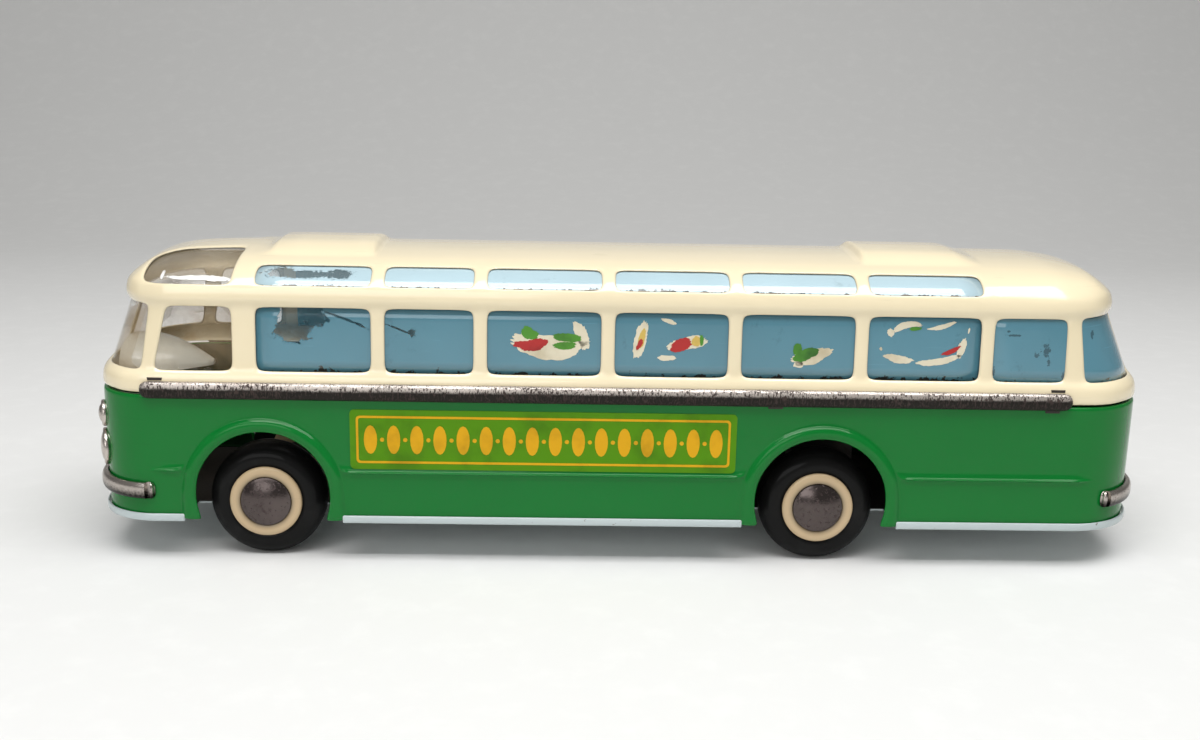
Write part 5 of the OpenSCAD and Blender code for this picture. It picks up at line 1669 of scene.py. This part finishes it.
def signs():
    tree = ornament_tree(finish("sign gold"))
    for side, word in SIDES:
        panel = sign_plate(f"{word}_sign", side, "sign green", SIGN_PLANES,
                           sign_loop(0.0, SIGN_CORNER))
        settle(panel, BODY, "sign_print", f"{word}_sign_panel")
        line = sign_plate(f"{word}_sign_line", side, "sign gold", LINE_PLANES,
                          sign_loop(*LINE_OUTER), sign_loop(*LINE_INNER))
        settle(line, BODY, "sign_print")
        for kind, count, length, height in ORNAMENTS:
            spots = [(SIGN_MID + (k - (count - 1) / 2) * ORNAMENT_PITCH, HALF_W + ORNAMENT_OFF,
                      SIGN_LOW + SIGN_H / 2) for k in range(count)]
            row = on_points(f"{word}_sign_{kind}", spots, tree, side, Length=length * MM,
                            Height=height * MM, Thickness=ORNAMENT_T * MM)
            settle(row, BODY, "sign_print")


# Dark tab plates at the rails, which stand for the tabs with the painted shade of their slots:
# place along the coach, height and inset; tabs under the pan: place along the coach
RAIL_TABS = ((119.4, 47.95, 0.16), (-110.6, 48.0, 0.18), (-38.0, 42.75, 0.0), (-109.6, 42.6, 0.0))
RAIL_TAB_SUNK = 0.12
PAN_TAB_X = (41.9, 0.5, -82.8, -113.9)
PAN_TAB_Z, PAN_TAB_IN = 10.52, 1.3

# Length of all tabs; height and how far proud, at the rails and under the pan
TAB_L = 4.0
RAIL_TAB_H, RAIL_TAB_PROUD = 0.75, 0.34
PAN_TAB_H, PAN_TAB_PROUD = 2.6, 0.14


def seam_tabs():
    """Dark tabs along the rails, with the painted shade of their slots, and those of the green
    shell folded in under the pan.
    """
    # The rail tabs take the dark finish: painted shade of the slots they pass through
    rail_tree, pan_tree = tab_tree(finish("dark tin")), tab_tree(finish("green paint"))
    rail_spots = [(x, plan_at(z).w - RAIL_TAB_SUNK - inset, z) for x, z, inset in RAIL_TABS]
    pan_spots = [(x, -PAN_TAB_Z, HALF_W - PAN_TAB_IN) for x in PAN_TAB_X]
    flat = Matrix.Rotation(-math.pi / 2, 4, "X")
    for side, word in SIDES:
        tabs = on_points(f"{word}_tabs", rail_spots, rail_tree, side,
                         Length=TAB_L * MM, Height=RAIL_TAB_H * MM, Proud=RAIL_TAB_PROUD * MM)
        settle(tabs, BODY, "nickel_plate")
        tabs = on_points(f"{word}_pan_tabs", pan_spots, pan_tree, side, flat,
                         Length=TAB_L * MM, Height=PAN_TAB_H * MM, Proud=PAN_TAB_PROUD * MM)
        settle(tabs, BODY, "green_paint")


# Lamps and cowl

LAMPS = (("headlamp", 9.8, 27.0), ("small_lamp", 7.0, 36.0))
LAMP_Y, LAMP_SEGMENTS, LENS_STEPS = 21.0, 48, 9
LAMP_BACK, LENS_INSET, LENS_LOW, LENS_RISE = -0.9, 1.0, 0.45, 1.1
LAMP_RING = ((0.0, 0.35), (0.12, 0.62), (0.4, 0.78), (0.75, 0.66), (0.95, 0.5))


def lamp_seat():
    """Point of the front corner that carries the left lamps, and the way they face."""
    cx, cy, r = Plan(0, 0, 0).ends[1][:3]
    turn = math.asin((LAMP_Y - cy) / r)
    return cx + r * math.cos(turn), (math.cos(turn), math.sin(turn), 0)


def lamps():
    seat_x, out = lamp_seat()
    for kind, size, z in LAMPS:
        r = size / 2
        profile = [(0.0, LAMP_BACK), (r, LAMP_BACK)] + [(r - d, h) for d, h in LAMP_RING]
        profile += [((r - LENS_INSET) * math.cos(a), LENS_LOW + LENS_RISE * math.sin(a))
                    for a in spread((0.0, math.pi / 2), LENS_STEPS)[:-1]]
        profile += [(0.0, LENS_LOW + LENS_RISE)]
        for side, word in SIDES:
            at = (seat_x, side * LAMP_Y, z)
            piece = lathe(f"{word}_{kind}_dome", profile, finish("nickel"), LAMP_SEGMENTS, at, side,
                          out)
            settle(piece, BODY, "nickel_plate", f"{word}_{kind}")


COWL_X, COWL_Z = (112.6, 135.0), 44.6
COWL_TAIL, COWL_GROWTH = (1.4, 1.2), (11.4, 7.2)
COWL_TAPER, COWL_SWELL, COWL_FULLNESS, COWL_ROUND = 0.82, 1.15, 0.95, 0.9
COWL_NARROW = 0.5
COWL_LENGTHS, COWL_STEPS, COWL_SHARP = 14, 18, 50


def cab_cowl():
    """Tapered cowl in the cab: half-round rings from its tail to its wide front."""
    points, n, last = [], COWL_STEPS + 1, COWL_LENGTHS
    for i, x in enumerate(spread(COWL_X, last)):
        k = i / last
        fat = math.sin(min(k * COWL_SWELL, 1.0) * math.pi / 2) ** COWL_FULLNESS
        w, h = (a + b * fat for a, b in zip(COWL_TAIL, COWL_GROWTH))
        w *= 1 - COWL_NARROW * max(k - COWL_TAPER, 0.0)
        points += [(x, w * math.cos(a), COWL_Z + h * math.sin(a) ** COWL_ROUND)
                   for a in spread((0.0, math.pi), COWL_STEPS)]
    faces = grid_faces(last + 1, n)
    faces += [tuple(range(n - 1, -1, -1)), tuple(range(last * n, (last + 1) * n))]
    faces += [(i * n, (i + 1) * n, (i + 2) * n - 1, (i + 1) * n - 1) for i in range(last)]
    piece = new_piece("cab_hood", points, faces, finish("cowl paint"))
    merged(piece, angle=COWL_SHARP)
    settle(piece, BODY, "pale_paint", "cab_cowl")


# Wheels

# Profiles of the turned pieces: radius, and place along the axle outwards from the wheel's face
TYRE_WALL = ((8.42, -0.3), (9.5, -0.3), (9.75, -0.12), (10.3, 0.0), (11.2, 0.04), (12.0, -0.06),
             (12.8, -0.38))
TYRE_SHOULDER = ((13.5, -0.85), (14.1, -1.5), (14.6, -2.3), (14.9, -3.1), (15.0, -3.9))
TYRE_TREAD = ((15.0, -4.1), (14.88, -4.2), (14.88, -4.35), (15.0, -4.45), (15.0, -5.55),
              (14.88, -5.65), (14.88, -5.8), (15.0, -5.9))
TYRE_BACK = ((12.8, -9.7), (11.2, -9.98), (8.42, -9.98))
TYRE_WIDTH = 10.0
TYRE_INNER = tuple((r, -TYRE_WIDTH - h) for r, h in TYRE_SHOULDER[::-1])
TYRE = TYRE_WALL + TYRE_SHOULDER + TYRE_TREAD + TYRE_INNER + TYRE_BACK + TYRE_WALL[:1]
RIM = ((6.6, -0.3), (6.6, 0.42), (6.72, 0.55), (7.2, 0.62), (7.9, 0.78), (8.6, 0.8), (9.05, 0.68),
       (9.28, 0.4), (9.3, 0.05), (9.3, -0.2), (8.4, -0.25), (8.4, -10.0), (1.3, -10.0),
       (1.3, -0.3), (6.6, -0.3))
RIM_DARK_BAND = (6.6, 7.6)
HUB_FOOT = ((0.0, -0.26), (6.5, -0.26), (6.5, 0.35), (6.42, 0.55))
HUB_TOP, HUB_RISE, HUB_R, HUB_EDGE, HUB_STEPS = 2.4, 1.9, 6.4, 6.2, 14
WHEEL_SEGMENTS, WHEEL_SHARP = 96, 48


def hubcap_profile():
    """Foot of a hubcap and the round dome on it."""
    r = (HUB_R ** 2 + HUB_RISE ** 2) / (2 * HUB_RISE)
    turns = [math.asin(HUB_EDGE / r) * (1 - k / HUB_STEPS) for k in range(HUB_STEPS)]
    dome = tuple((r * math.sin(a), HUB_TOP - r * (1 - math.cos(a))) for a in turns)
    return HUB_FOOT + dome + ((0.0, HUB_TOP),)


def mark_bore(piece, x, low, high):
    """Marks a rim round its hubcap, where its paint is drawn darker towards the bore."""
    reach = [math.hypot(v.co.x / MM - x, v.co.z / MM - AXLE_Z) for v in piece.data.vertices]
    mark(piece, "edge", [min(max((high - r) / (high - low), 0.0), 1.0) for r in reach])


WHEEL_PARTS = (
    ("tyre", TYRE, "tyre black", "black_tyre"),
    ("rim", RIM, "rim plastic", "cream_plastic"),
    ("hubcap", hubcap_profile(), "hub nickel", "nickel_plate"),
)


def wheels():
    for end, x, body in (("front", FRONT_AXLE_X, FRONT_WHEELS), ("rear", REAR_AXLE_X, REAR_WHEELS)):
        for side, word in SIDES:
            at = (x, side * WHEEL_FACE_Y, AXLE_Z)
            for part, profile, look, slot in WHEEL_PARTS:
                piece = lathe(f"{end}_{word}_{part}_turned", profile, finish(look), WHEEL_SEGMENTS,
                              at, side)
                piece.data.set_sharp_from_angle(angle=math.radians(WHEEL_SHARP))
                if part == "rim":
                    mark_bore(piece, x, *RIM_DARK_BAND)
                settle(piece, body, slot, f"{end}_{word}_{part}")


GEAR_FINISHES = {
    "steel": ("front_axle", "rear_axle", "motor_spacers", "lay_shaft", "flywheel_arbor"),
    "dark tin": ("front_axle_bracket", "left_motor_plate", "right_motor_plate"),
    "brass": ("drive_gear", "lay_pinion", "lay_gear", "flywheel_pinion"),
    "cast metal": ("flywheel",),
}


def running_gear():
    """Finishes for the CAD nodes that stay in view."""
    for look, names in GEAR_FINISHES.items():
        for name in names:
            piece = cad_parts[name]
            piece.data.materials.clear()
            piece.data.materials.append(finish(look))


# Stage

# Camera in the photo's place, in metres, and its three directions
CAMERA_AT = (0.01663, 0.35959, 0.13066)
CAMERA_RIGHT = (-0.999504, 0.023812, 0.020644)
CAMERA_UP = (0.014507, -0.233871, 0.972161)
CAMERA_AHEAD = (-0.027976, -0.971977, -0.23341)
CAMERA_LENS, CAMERA_SENSOR, CAMERA_CLIP = 39.911, 36.0, (0.01, 20.0)

# Floor that sweeps up behind the coach, and the lights, in metres
FLOOR_HALF_L, FLOOR_COLUMNS = 9.0, 25
SWEEP_Y, SWEEP_R, SWEEP_STEPS = -0.5, 0.6, 12
FLOOR_FRONT, FLOOR_BACK = ((9.0, 0.0), (0.4, 0.0), (SWEEP_Y, 0.0)), ((-1.1, 1.2), (-1.1, 3.0))
LIGHTS = (
    ("top_softbox", (-0.05, 0.18, 0.75), (0, 0.0, 0.05), 0.9, 0.45, "key"),
    ("front_softbox", (0.35, 0.85, 0.42), (0, 0, 0.04), 0.7, 0.4, "fill"),
    ("strip_light", (0.0, 0.42, 0.80), (0, 0.03, 0.04), 1.3, 0.03, "strip"),
)
SKY_COLOUR = (1.0, 0.99, 0.97, 1.0)


def soft_light(name, place, aim, width, depth, watts):
    lamp = bpy.data.lights.new(name, "AREA")
    lamp.shape, lamp.size, lamp.size_y = "RECTANGLE", width, depth
    lamp.energy = watts
    made = link(name, lamp)
    made.location = place
    made.rotation_mode = "QUATERNION"
    made.rotation_quaternion = (Vector(aim) - Vector(place)).to_track_quat("-Z", "Y")


def photo_camera():
    camera = bpy.data.cameras.new("photo_camera")
    camera.lens, camera.sensor_width = CAMERA_LENS, CAMERA_SENSOR
    camera.sensor_fit = "HORIZONTAL"
    camera.clip_start, camera.clip_end = CAMERA_CLIP
    made = link("photo_camera", camera)
    turn = Matrix((CAMERA_RIGHT, CAMERA_UP, -Vector(CAMERA_AHEAD))).transposed()
    made.matrix_world = Matrix.Translation(Vector(CAMERA_AT)) @ turn.to_4x4()
    bpy.context.scene.camera = made


def floor_material(colour):
    material, tree, shader, place = start_material("pale floor", roughness=0.7)
    grain = use_group(tree, "surface grain", place, Grain_Size=300.0)
    base = mix(tree, grain["Dirt"], tint(colour, 0.97), colour)
    tree.links.new(base, shader.inputs["Base Color"])
    return material


def build_stage(stage):
    photo_camera()
    turns = [math.pi / 2 * k / SWEEP_STEPS for k in range(1, SWEEP_STEPS + 1)]
    sweep = tuple((SWEEP_Y - SWEEP_R * math.sin(a), SWEEP_R - SWEEP_R * math.cos(a)) for a in turns)
    profile = FLOOR_FRONT + sweep + FLOOR_BACK
    xs = [FLOOR_HALF_L * (2 * c / (FLOOR_COLUMNS - 1) - 1) for c in range(FLOOR_COLUMNS)]
    points = [(x, y, z) for y, z in profile for x in xs]
    floor = new_piece("floor", points, grid_faces(len(profile), FLOOR_COLUMNS),
                      floor_material(stage.floor), scale=1.0)

    view = bpy.context.scene.view_settings
    view.view_transform, view.look, view.exposure = "Standard", "None", 0.0
    world = bpy.data.worlds.new("studio")
    bpy.context.scene.world = world
    world.use_nodes = True
    sky = world.node_tree.nodes["Background"]
    sky.inputs["Color"].default_value = SKY_COLOUR
    sky.inputs["Strength"].default_value = stage.ambient
    for name, place, aim, width, depth, power in LIGHTS:
        soft_light(name, place, aim, width, depth, getattr(stage, power))


# Panel settings

def colour_property(name, description, default):
    return bpy.props.FloatVectorProperty(name=name, description=description, default=default,
                                         subtype="COLOR", size=3, min=0.0, max=1.0)


def length_property(name, description, default):
    return bpy.props.FloatProperty(name=name, description=description, default=default * MM,
                                   min=0.0, unit="LENGTH", subtype="DISTANCE")


def power_property(name, description, default):
    return bpy.props.FloatProperty(name=name, description=description, default=default,
                                   unit="POWER")


class CoachSizes(bpy.types.PropertyGroup):
    """Sizes of the pressed and plated pieces."""
    tin: length_property("Tin", "Thickness of the tin sheet", 0.5)
    lip: length_property("Window lip", "How far the window edges turn inwards", 0.7)
    flange: length_property("Seam flange", "Width of the inward flange at the seam", 1.6)
    glass_depth: length_property("Glass depth", "Depth of the celluloid under the skin", 0.8)
    celluloid: length_property("Celluloid", "Thickness of the celluloid", 0.3)
    rail_height: length_property("Rail height", "Height of the belt rails", 4.4)
    rail_depth: length_property("Rail depth", "Depth of the belt rails", 1.65)
    bumper_height: length_property("Bumper level", "Height of the bumpers over the floor", 18.6)


class CoachColours(bpy.types.PropertyGroup):
    """Colours of the finishes."""
    cream: colour_property("Cream", "Paint of the upper shell", (0.85, 0.74, 0.51))
    green: colour_property("Green", "Paint of the lower shell", (0.002, 0.163, 0.023))
    pale: colour_property("Pale", "Paint of the base pan", (0.50, 0.57, 0.58))
    rim: colour_property("Rims", "Plastic of the rims", (0.55, 0.41, 0.245))
    tyre: colour_property("Tyres", "Black of the tyres", (0.006, 0.006, 0.006))
    nickel: colour_property("Nickel", "Plate of the rails, bumpers and hubcaps", (0.40, 0.36, 0.33))
    blue: colour_property("Blue", "Paint behind the side windows", (0.090, 0.24, 0.31))
    # Lighter than the side windows' blue: painted reflection of the light from above, over the
    # paint behind the roof windows
    roof_blue: colour_property("Roof blue", "Paint behind the roof windows", (0.45, 0.60, 0.66))
    clear: colour_property("Celluloid", "Tint of the roof-corner windows", (0.53, 0.44, 0.31))
    screen: colour_property("Windscreen", "Tint of windscreen and cab sides", (0.50, 0.36, 0.19))
    sign: colour_property("Sign", "Ground of the sign panels", (0.085, 0.26, 0.001))
    gold: colour_property("Ornament", "Ornament on the sign panels", (0.72, 0.38, 0.008))


class CoachStage(bpy.types.PropertyGroup):
    """Floor and light."""
    floor: colour_property("Floor", "Colour of the floor", (0.78, 0.78, 0.77))
    key: power_property("Top light", "Power of the softbox above", 6.1)
    fill: power_property("Front light", "Power of the softbox in front", 1.7)
    strip: power_property("Strip light", "Power of the narrow light above", 1.9)
    ambient: bpy.props.FloatProperty(name="Ambient", description="Strength of the light all round",
                                     default=0.24, min=0.0)


class CoachSettings(bpy.types.PropertyGroup):
    """All settings of the coach."""
    sizes: bpy.props.PointerProperty(type=CoachSizes)
    colours: bpy.props.PointerProperty(type=CoachColours)
    stage: bpy.props.PointerProperty(type=CoachStage)


class COACH_OT_stage(bpy.types.Operator):
    """Make the floor, the lights and the camera"""
    bl_idname = "coach.stage"
    bl_label = "Stage"

    def execute(self, context):
        build_stage(context.scene.coach.stage)
        return {"FINISHED"}


class COACH_OT_upper_shell(bpy.types.Operator):
    """Press the cream shell with its window openings"""
    bl_idname = "coach.upper_shell"
    bl_label = "Upper shell"

    def execute(self, context):
        upper_shell(context.scene.coach.sizes)
        return {"FINISHED"}


class COACH_OT_lower_shell(bpy.types.Operator):
    """Press the green shell with its wheel arches"""
    bl_idname = "coach.lower_shell"
    bl_label = "Lower shell"

    def execute(self, context):
        lower_shell(context.scene.coach.sizes)
        return {"FINISHED"}


class COACH_OT_base_pan(bpy.types.Operator):
    """Make the pan and its pale rim"""
    bl_idname = "coach.base_pan"
    bl_label = "Base pan"

    def execute(self, context):
        base_pan()
        return {"FINISHED"}


class COACH_OT_belt_rails(bpy.types.Operator):
    """Sweep the plated rails over the seam"""
    bl_idname = "coach.belt_rails"
    bl_label = "Belt rails"

    def execute(self, context):
        belt_rails(context.scene.coach.sizes)
        return {"FINISHED"}


class COACH_OT_bumpers(bpy.types.Operator):
    """Sweep the plated bumpers round the ends"""
    bl_idname = "coach.bumpers"
    bl_label = "Bumpers"

    def execute(self, context):
        bumpers(context.scene.coach.sizes)
        return {"FINISHED"}


class COACH_OT_seam_tabs(bpy.types.Operator):
    """Set the folded tabs along the rails and under the pan"""
    bl_idname = "coach.seam_tabs"
    bl_label = "Tabs"

    def execute(self, context):
        seam_tabs()
        return {"FINISHED"}


class COACH_OT_clear_glazing(bpy.types.Operator):
    """Fit the windscreen and roof-corner sheets"""
    bl_idname = "coach.clear_glazing"
    bl_label = "Clear celluloid"

    def execute(self, context):
        clear_glazing(context.scene.coach.sizes)
        return {"FINISHED"}


class COACH_OT_blue_glazing(bpy.types.Operator):
    """Fit the blue-backed window sheets"""
    bl_idname = "coach.blue_glazing"
    bl_label = "Blue celluloid"

    def execute(self, context):
        blue_glazing(context.scene.coach.sizes)
        return {"FINISHED"}


class COACH_OT_torn_scraps(bpy.types.Operator):
    """Lay the torn paper scraps on the windows"""
    bl_idname = "coach.torn_scraps"
    bl_label = "Torn paper"

    def execute(self, context):
        torn_scraps(context.scene.coach.sizes)
        return {"FINISHED"}


class COACH_OT_signs(bpy.types.Operator):
    """Make the sign panels with a plain ornament"""
    bl_idname = "coach.signs"
    bl_label = "Signs"

    def execute(self, context):
        signs()
        return {"FINISHED"}


class COACH_OT_lamps(bpy.types.Operator):
    """Turn the lamps on the front corners"""
    bl_idname = "coach.lamps"
    bl_label = "Lamps"

    def execute(self, context):
        lamps()
        return {"FINISHED"}


class COACH_OT_cab_cowl(bpy.types.Operator):
    """Make the tapered cowl in the cab"""
    bl_idname = "coach.cab_cowl"
    bl_label = "Cab cowl"

    def execute(self, context):
        cab_cowl()
        return {"FINISHED"}


class COACH_OT_wheels(bpy.types.Operator):
    """Turn the tyres, rims and hubcaps"""
    bl_idname = "coach.wheels"
    bl_label = "Wheels"

    def execute(self, context):
        wheels()
        return {"FINISHED"}


class COACH_OT_running_gear(bpy.types.Operator):
    """Finish the axles, gears and motor plates"""
    bl_idname = "coach.running_gear"
    bl_label = "Running gear"

    def execute(self, context):
        running_gear()
        return {"FINISHED"}


PIECES = (
    COACH_OT_upper_shell, COACH_OT_lower_shell, COACH_OT_base_pan, COACH_OT_belt_rails,
    COACH_OT_bumpers, COACH_OT_seam_tabs, COACH_OT_clear_glazing, COACH_OT_blue_glazing,
    COACH_OT_torn_scraps, COACH_OT_signs, COACH_OT_lamps, COACH_OT_cab_cowl,
    COACH_OT_wheels, COACH_OT_running_gear,
)


class COACH_PT_panel(bpy.types.Panel):
    """Sidebar panel of the coach"""
    bl_label = "Coach"
    bl_idname = "COACH_PT_panel"
    bl_space_type = "VIEW_3D"
    bl_region_type = "UI"
    bl_category = "Coach"

    def draw(self, context):
        settings = context.scene.coach
        for part in (settings.sizes, settings.colours, settings.stage):
            column = self.layout.column(align=True)
            for name in part.__annotations__:
                column.prop(part, name)
        for operator in PIECES + (COACH_OT_stage,):
            self.layout.operator(operator.bl_idname)


CLASSES = (CoachSizes, CoachColours, CoachStage, CoachSettings) + PIECES + (
    COACH_OT_stage, COACH_PT_panel)


def register():
    for cls in CLASSES:
        bpy.utils.register_class(cls)
    bpy.types.Scene.coach = bpy.props.PointerProperty(type=CoachSettings)


def unregister():
    del bpy.types.Scene.coach
    for cls in reversed(CLASSES):
        bpy.utils.unregister_class(cls)


def main():
    register()
    bpy.ops.coach.stage()
    for operator in PIECES:
        getattr(bpy.ops.coach, operator.bl_idname.split(".")[1])()


if __name__ == "__main__":
    main()
